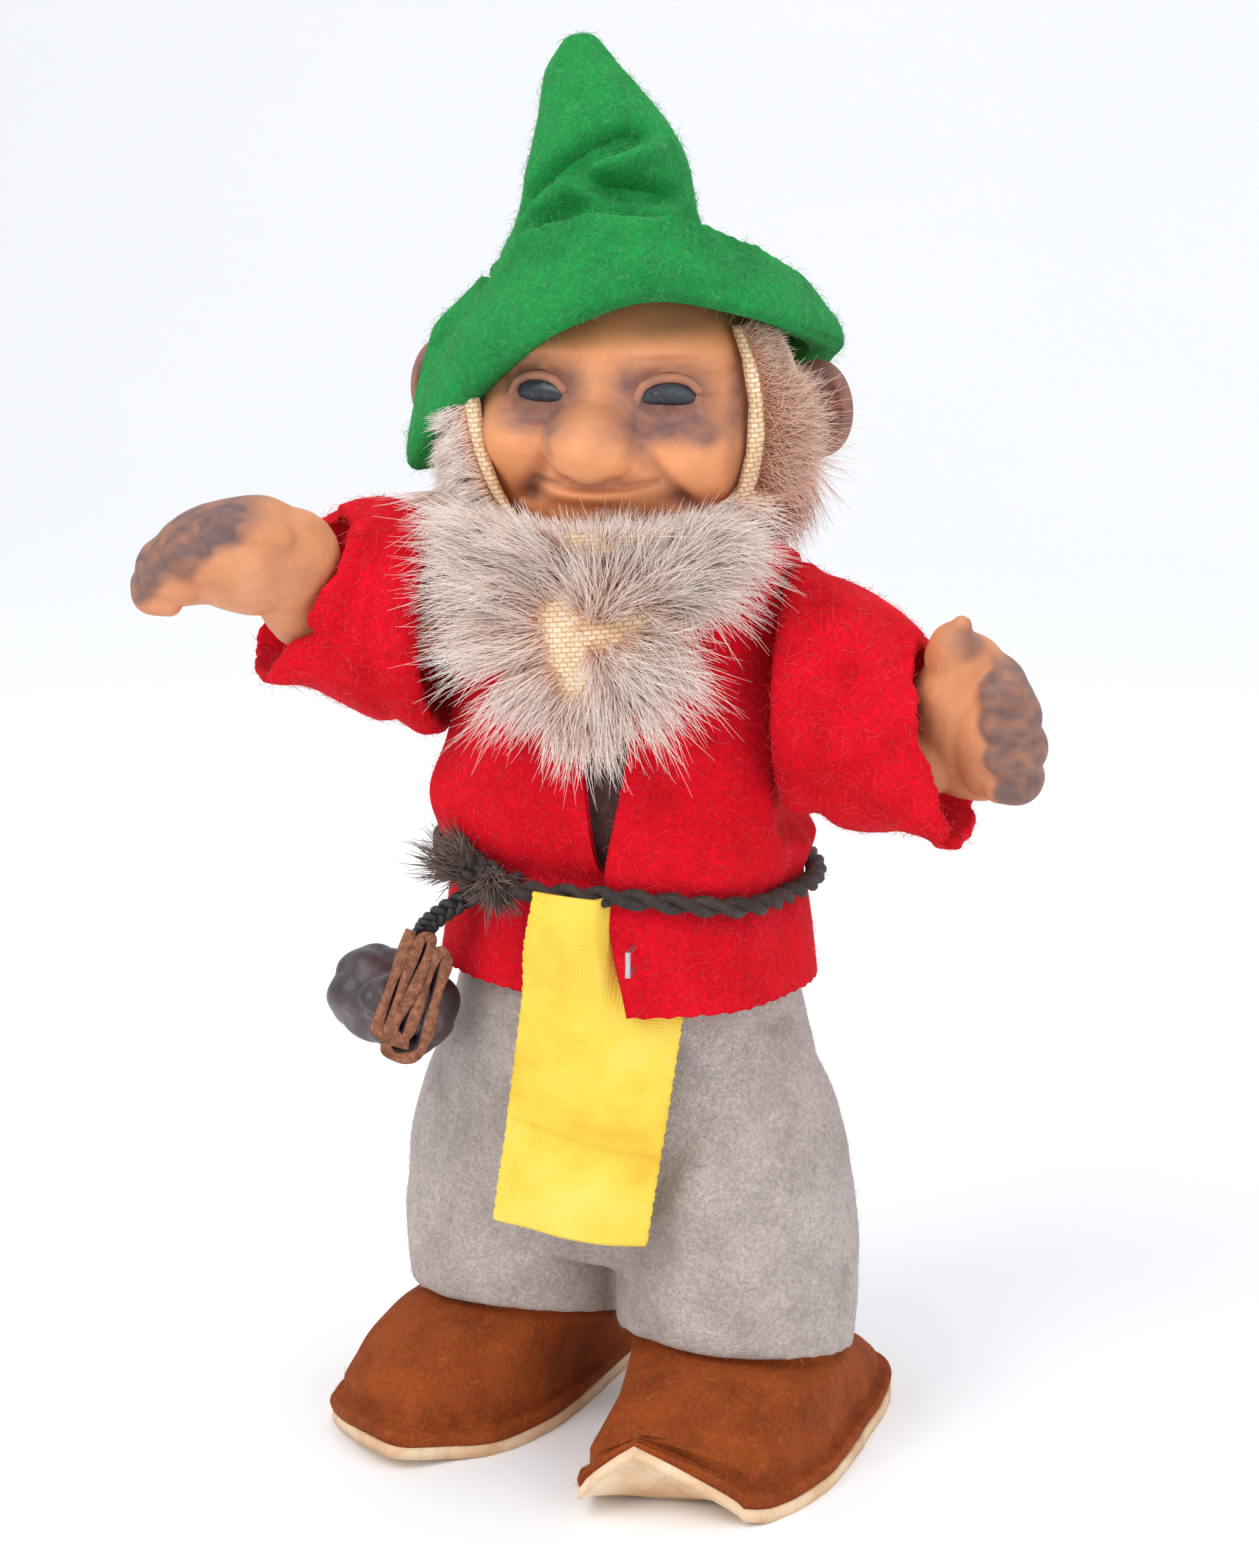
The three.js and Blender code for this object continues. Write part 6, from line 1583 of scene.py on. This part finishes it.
def hat_rings(count):
    angle = circle(count)
    turned = np.where(angle > math.pi, angle - 2 * math.pi, angle)
    low, out, cuff, lean = along(BRIM, np.degrees(turned))
    reach = HEAD[0] + out
    low, high = HEAD_Z + low, HEAD_Z + low + HAT_CUFF * cuff
    top = reach - lean
    ragged = 0.12 * np.sin(angle * 23) * np.sin(angle * 7) + 0.06 * np.sin(angle * 61)
    behind = 1.7 * smooth(1.6, 3.6, lean) * np.where(np.abs(turned) < 1.6, 1, 0.5)

    def at(r, z):
        return np.column_stack([r * np.sin(angle), -r * np.cos(angle), z + 0 * angle])

    def crown(share, inset):
        start, end = at(top - 1.3 - behind - inset, high - 0.9 - behind * 1.2), horn_at(HORN[0][0], angle, inset)
        swell = math.sin(share * math.pi) ** 1.6 * 1.3
        return mix(start, end, share) + swell * np.column_stack([np.sin(angle), -np.cos(angle), 0.35 + 0 * angle])

    rings = [at(reach - 1.5, low + 0.05), at(reach - 1.0, low - 0.05), at(reach - 0.45, low + 0.12), at(reach - 0.1, low + 0.6)]
    for t in np.linspace(0.1, 0.95, 26):
        swell = 0.9 * math.sin(t * math.pi) + 0.35 * math.sin(t * math.pi * 2)
        rings.append(at(mix(reach, top, t ** 1.35) + swell * 0.6, mix(low, high, t)))
    rings += [
        at(top + 0.1, high - 0.1 + ragged * 0.6), at(top - 0.25, high + 0.15 + ragged), at(top - 0.8, high + 0.1 + ragged),
        at(top - 1.2 - behind * 0.5, high - 0.35 - behind * 0.6), at(top - 1.35 - behind, high - 0.9 - behind),
    ]
    rings += [crown(share, 0) for share in np.linspace(0.08, 0.94, 12)]
    rings += [horn_at(rise, angle) for rise in np.linspace(-0.5, 18.2, 64)]
    tip = rings[-1].mean(axis=0)
    for k, up in ((0.82, 0.5), (0.6, 0.85), (0.35, 1.05), (0.12, 1.12)):
        rings.append((rings[-1 - [0.82, 0.6, 0.35, 0.12].index(k)] - tip) * (k, k, 0) + tip + (0, 0, up))
    inner = [horn_at(rise, angle, 1.8) for rise in np.linspace(11.6, 0, 8)]
    inner += [crown(share, FELT) for share in (0.8, 0.6, 0.4, 0.2, 0.05)]
    inner += [at(mix(reach, top, t) - 1.6 - FELT, mix(low, high, t)) for t in (0.85, 0.6, 0.4, 0.2, 0.08)]
    inner.append(at(reach - 1.6 - FELT, low + 0.2))
    return np.array([*inner, *rings])


def hat_folds(points, normals):
    shift = 0.22 * lumps(points, 5.5, 21.0) + 0.1 * lumps(points, 2.0, 5.0)
    for start, end, width, depth in HAT_CREASES:
        shift = shift + depth * crease(points, start, end, width)
    for line, width, depth in HAT_LINES:
        near = bell(off_line(points[:, 0], points[:, 2], line), width) * smooth(-0.5, -4, points[:, 1]) * np.where(points[:, 0] > -3, smooth(116.8, 118.3, points[:, 2]), smooth(112, 115, points[:, 2]))
        shift = shift + depth * near
    inside = (normals * (points - (0, 0, 104))).sum(axis=1) < 0
    return np.where(inside, 0, shift)


green_felt = felt("green_felt", (0.016, 0.3, 0.062), (0.009, 0.2, 0.04), (0.13, 0.5, 0.2), 0.15, 170.0)
green_lint = fibres("green_fibres", (0.02, 0.3, 0.07), (0.16, 0.54, 0.22))
rings = hat_rings(240)
hat = outwards(mesh_object("hat_felt_body", *loft(rings), green_felt))
pushed(hat, hat_folds)
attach(hat, "head_group")
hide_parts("hat")


def hat_outside(points, normals):
    out = (normals * (points - (0, 0, 104))).sum(axis=1) > 0
    return (out & (points[:, 2] > 92)).astype(float)


fuzz(hat, 9000, 1.5, green_lint, "head_group", 71, keep=hat_outside, thickness=0.032)


# Beard: long-haired plush, cream fibres woven into a cream ground, cut as one strip that runs round the
# jaw and hangs as a wedge before the chest. Its one sideburn climbs to the hat on the doll's left.
BEARD_TIP_Z = 71.5
BEARD_TOP = -8.5
BEARD_SPAN = math.radians(74)
CHEST_CLEAR = 31.5 / 2 + 1.5
COLLAR_CLEAR = 20 / 2 + 2.6


def head_reach(z):
    return HEAD[0] * np.sqrt(np.maximum(0, 1 - ((z - HEAD_Z) / HEAD[2]) ** 2))


def beard_point(side, share, lift):
    """A point of the plush by its place across (-1 to 1), up (0 to 1), and above the ground's back."""
    away = np.abs(side)
    bottom = mix(BEARD_TIP_Z, HEAD_Z - 7.1, smooth(0, 0.7, away))
    burn = np.where(side > 0, 15.0 * smooth(0.64, 0.71, side), 8.6 * bell(side + 0.62, 0.11))
    top = HEAD_Z + BEARD_TOP + 2.4 * smooth(0.4, 0.64, away) + burn
    z = mix(bottom, top, share)
    clear = mix(CHEST_CLEAR, COLLAR_CLEAR, smooth(78.5, NECK_Z + 1.4, z))
    r = np.maximum(clear, head_reach(z) + 1.3 + 3.6 * (1 - smooth(0.1, 0.6, away))) + lift
    angle = BEARD_SPAN * side
    return np.stack([r * np.sin(angle), -r * np.cos(angle), z], -1)


weave = bpy.data.materials.new("woven_ground")
tree = blank_tree(weave)
where = add(tree, "ShaderNodeTexCoord").outputs["Object"]
upright = add(tree, "ShaderNodeMapping", Vector=where, Rotation=(math.pi / 2, 0, 0.12))
knots = add(tree, "ShaderNodeTexBrick", Vector=upright.outputs[0], Scale=780.0, Mortar_Size=0.06, Mortar_Smooth=0.9,
            Brick_Width=0.62, Row_Height=0.34)
for number, colour in ((1, (1.0, 0.84, 0.6)), (2, (0.94, 0.73, 0.48)), (3, (0.72, 0.46, 0.27))):
    knots.inputs[number].default_value = (*colour, 1)
stain = add(tree, "ShaderNodeTexNoise", Vector=where, Scale=300.0, Detail=3.0)
shade = ramp(tree, stain.outputs["Fac"], [(0.3, (0.88, 0.8, 0.7)), (0.65, (1.04, 1.02, 1.0))])
tone = blended(tree, 1.0, knots.outputs["Color"], shade, "MULTIPLY")
bump = add(tree, "ShaderNodeBump", {"invert": True}, Strength=0.6, Distance=0.0002, Height=knots.outputs["Fac"])
ground = add(tree, "ShaderNodeBsdfPrincipled", Base_Color=tone, Roughness=0.9, Normal=bump.outputs[0])
add(tree, "ShaderNodeOutputMaterial", Surface=ground.outputs[0])

across = np.linspace(-1, 1, 150)[None]
up = np.linspace(0, 1, 60)[:, None]
GROUND = 1.0
front = beard_point(across, up, GROUND)
back_face = beard_point(across, up, 0.0)
strip = outwards(cloth_sheet("beard_woven_ground", on_neck(front - (0, 0, HEAD_Z)), on_neck(back_face - (0, 0, HEAD_Z)), weave))
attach(strip, "head_group")
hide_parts("beard")


def mohair(name, root, tip_colour, pale):
    """Long plush fibres: darker and warmer at the root, nearly white at the tip."""
    material = bpy.data.materials.new(name)
    tree = blank_tree(material)
    lot = add(tree, "ShaderNodeAttribute", {"attribute_name": "lot"})
    tip = add(tree, "ShaderNodeAttribute", {"attribute_name": "tip"})
    body = ramp(tree, tip.outputs["Fac"], [(0.0, root), (0.5, tip_colour), (1.0, pale)])
    vary = ramp(tree, lot.outputs["Fac"], [(0.0, (0.84, 0.77, 0.72)), (0.5, (1.0, 0.98, 0.96)), (1.0, (1.08, 1.06, 1.04))])
    colour = blended(tree, 1.0, body, vary, "MULTIPLY")
    hair = add(tree, "ShaderNodeBsdfPrincipled", Base_Color=colour, Roughness=0.5, Specular_IOR_Level=0.35,
               Sheen_Weight=0.15)
    add(tree, "ShaderNodeOutputMaterial", Surface=hair.outputs[0])
    return material


def plush(name, count, place, out, lay, length, material, seed, radius=0.042, curl=0.3, body="head_group"):
    """Fibres that leave the ground along out and bend over along lay. All in millimetres."""
    rng = np.random.default_rng(seed)
    t = np.linspace(0, 1, 6)[None, :, None]
    wander = unit(rng.normal(size=(count, 3)))
    late = unit(rng.normal(size=(count, 3)))
    reach = length[:, None, None]
    paths = place[:, None] + reach * (
        out[:, None] * (t * 0.42 - t * t * 0.2) + lay[:, None] * (t * 0.45 + t * t * 0.42)
        + wander[:, None] * t * curl * 0.5 + late[:, None] * t ** 3 * curl * 0.45)
    paths = (paths + (0, MIDDLE_Y, 0)) * MM
    radii = radius * MM * np.broadcast_to(np.array([1, 1, 0.95, 0.8, 0.6, 0.2])[None], (count, 6))
    return strands(name, paths, radii, material, body, seed)


cream_hair = mohair("cream_mohair", (1.0, 0.62, 0.48), (1.0, 0.83, 0.75), (1.0, 0.94, 0.9))
brown_hair = mohair("brown_mohair", (0.48, 0.2, 0.11), (0.74, 0.39, 0.25), (0.97, 0.78, 0.68))
# x and height of the two lines that the fibres part along, where the woven ground shows
PARTING = [(-2.4, 82.4), (-0.6, 77.4)]
PARTING_ARM = [(-0.5, 80.6), (6.8, 82.6)]


def beard_field(count, rng, low, high, from_side, to_side):
    side = rng.uniform(from_side, to_side, count)
    share = rng.uniform(low, high, count)
    place = beard_point(side, share, GROUND - 0.1)
    step = 0.01
    out = unit(place * (1, 1, 0))
    right = unit(beard_point(side + step, share, GROUND) - beard_point(side - step, share, GROUND))
    return side, share, place, out, right


def beard_hair(name, count, low, high, from_side, to_side, seed, material):
    rng = np.random.default_rng(seed)
    side, share, place, out, right = beard_field(count, rng, low, high, from_side, to_side)
    x, z = place[:, 0], place[:, 2]
    far = np.minimum(off_line(x, z, PARTING), off_line(x, z, PARTING_ARM) + 0.9)
    level = (1 - 0.8 * smooth(4, 12, -x)) * (1 - 0.5 * smooth(5, 13, x))
    lay = unit(np.column_stack([x - 0.8, 0 * x - 1.5, (z - 79.6) * level]))
    lay[:, 2] -= 0.75 * (1 - share) ** 1.6 + 0.3 * smooth(4, 14, np.abs(x)) + 0.9 * smooth(8, 13, -x) * smooth(88, 93, z)
    # the fibres cling together in wisps
    cell = (np.floor(place / 1.4).astype(int) * (73, 199, 31)).sum(axis=1) % 997
    lay = unit(unit(lay) + 0.26 * rng.normal(size=(997, 3))[cell])
    length = rng.uniform(5.0, 9.2, count) * (0.4 + 0.6 * smooth(0.3, 4.5, far))
    length *= np.where(z < 76, 0.62, 1.0) * (1 + 0.3 * smooth(-0.7, -0.9, side))
    below_mouth = np.where(np.abs(x) < 11.5, (91.2 - z) / np.maximum(lay[:, 2], 0.2), 9)
    below_mouth = np.where((x < -8) & (z > 92), 2.2, below_mouth)
    length = np.clip(np.minimum(length, below_mouth * rng.uniform(0.85, 1.2, count)), 1.2, 9.4)
    bare = 1.8
    keep = (far > bare * rng.uniform(0.6, 1.2, count)) & ((side < 0.64) | (z < 90.5))
    rows = np.flatnonzero(keep)
    return plush(name, len(rows), place[rows], out[rows], lay[rows], length[rows], material, seed, curl=0.42)


beard_hair("beard_hair_upper_right", 7800, 0.35, 1.0, -1.0, 0.0, 81, cream_hair)
beard_hair("beard_hair_upper_left", 7800, 0.35, 1.0, 0.0, 0.84, 82, cream_hair)
beard_hair("beard_hair_lower", 8200, 0.0, 0.42, -0.75, 0.75, 83, cream_hair)

rng = np.random.default_rng(84)
count = 5200
side = 0.75 + 0.21 * rng.uniform(0, 1, count) ** 1.2
share = rng.uniform(0.1, 1.0, count)
place = beard_point(side, share, GROUND - 0.1)
out = unit(place * (1, 1, 0))
lay = unit(np.column_stack([np.full(count, 0.6), np.full(count, 0.5), rng.uniform(-0.7, 0.45, count)]))
long = rng.uniform(2.2, 4.3, count) * np.where(rng.uniform(0, 1, count) < 0.1, 1.35, 1.0)
long *= (1 - 0.45 * smooth(0.86, 0.96, side)) * (1 - 0.6 * smooth(100, 104, place[:, 2]))
plush("sideburn_hair", count, place, out, lay, long, brown_hair, 84, 0.034, 0.9)

span = np.linspace(-1, 1, 90)[None]
up = np.linspace(0, 1, 16)[:, None]


def nape_point(side, share, lift):
    z = mix(HEAD_FOOT_Z + 0.8, HEAD_Z - 6.2 + 2.2 * side * side, share)
    r = head_reach(z) + 0.6 + lift
    angle = math.pi + math.radians(72) * side
    return np.stack([r * np.sin(angle), -r * np.cos(angle), z + 0 * angle], -1)


band = outwards(cloth_sheet("nape_woven_ground", nape_point(span, up, 1.0), nape_point(span, up, 0.0), weave))
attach(band, "head_group")
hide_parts("back_hair")
rng = np.random.default_rng(85)
count = 7600
side, share = rng.uniform(-1, 1, count), rng.uniform(0.0, 1.0, count)
place = nape_point(side, share, 0.9)
out = unit(place * (1, 1, 0))
lay = unit(np.column_stack([rng.normal(0, 0.25, count), rng.normal(0, 0.2, count), 1.3 * smooth(0.82, 0.95, share) - 1.0]))
plush("nape_hair", count, place, out, lay, rng.uniform(3.5, 6.5, count), brown_hair, 85)


# Inside: the stuffing is wood wool and wadding, the joint discs are pressed fibreboard, and the pins and
# washers are steel. None of it shows, and each piece keeps its place and size.
wool = bpy.data.materials.new("stuffing_wool")
tree = blank_tree(wool)
where = add(tree, "ShaderNodeTexCoord").outputs["Object"]
tufts = add(tree, "ShaderNodeTexNoise", Vector=where, Scale=700.0, Detail=5.0, Roughness=0.7, Distortion=1.5)
tone = ramp(tree, tufts.outputs["Fac"], [(0.3, (0.45, 0.34, 0.2)), (0.6, (0.75, 0.65, 0.47))])
bump = add(tree, "ShaderNodeBump", Strength=1.0, Distance=0.0005, Height=tufts.outputs["Fac"])
wadding = add(tree, "ShaderNodeBsdfPrincipled", Base_Color=tone, Roughness=0.95, Normal=bump.outputs[0])
add(tree, "ShaderNodeOutputMaterial", Surface=wadding.outputs[0])


def stuffing(node, body, seed, loose=0.12):
    """The filling in a piece: its solid's shape, pressed into soft lumps that stay inside its cover."""
    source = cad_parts[node]
    obj = bpy.data.objects.new(f"{node}_wool", source.data.copy())
    bpy.context.scene.collection.objects.link(obj)
    obj.matrix_world = source.matrix_world
    obj.data.transform(obj.matrix_world)
    obj.matrix_world.identity()
    obj.data.materials.clear()
    obj.data.materials.append(wool)
    packed = obj.modifiers.new("packed_wool", "REMESH")
    packed.mode = "VOXEL"
    packed.voxel_size = 0.6 * MM
    applied(obj)
    obj.data.shade_smooth()
    pushed(obj, lambda points, normals: 0.14 * lumps(points, 2.2, seed) - loose)
    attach(obj, body)
    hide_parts(node)


stuffing("torso_stuffing", "doll_body", 1.0)
stuffing("right_leg_stuffing", "doll_body", 2.0, 0.8)
stuffing("left_leg_stuffing", "doll_body", 3.0, 0.8)
stuffing("hat_wadding", "head_group", 4.0)


board = bpy.data.materials.new("pressed_fibreboard")
tree = blank_tree(board)
where = add(tree, "ShaderNodeTexCoord").outputs["Object"]
pulp = add(tree, "ShaderNodeTexNoise", Vector=where, Scale=1300.0, Detail=4.0, Roughness=0.7)
tone = ramp(tree, pulp.outputs["Fac"], [(0.3, (0.16, 0.09, 0.05)), (0.65, (0.34, 0.22, 0.13))])
bump = add(tree, "ShaderNodeBump", Strength=0.5, Distance=0.0001, Height=pulp.outputs["Fac"])
pressed = add(tree, "ShaderNodeBsdfPrincipled", Base_Color=tone, Roughness=0.85, Normal=bump.outputs[0])
add(tree, "ShaderNodeOutputMaterial", Surface=pressed.outputs[0])

steel = metal("joint_steel", (0.56, 0.56, 0.58), 0.4)
for node in ("neck_disc", "head_disc", "right_shoulder_disc", "left_shoulder_disc"):
    dressed(node, board)
for joint in ("neck", "right_shoulder", "left_shoulder"):
    dressed(f"{joint}_washer", steel)
    dressed(f"{joint}_pin", steel)


low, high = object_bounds()
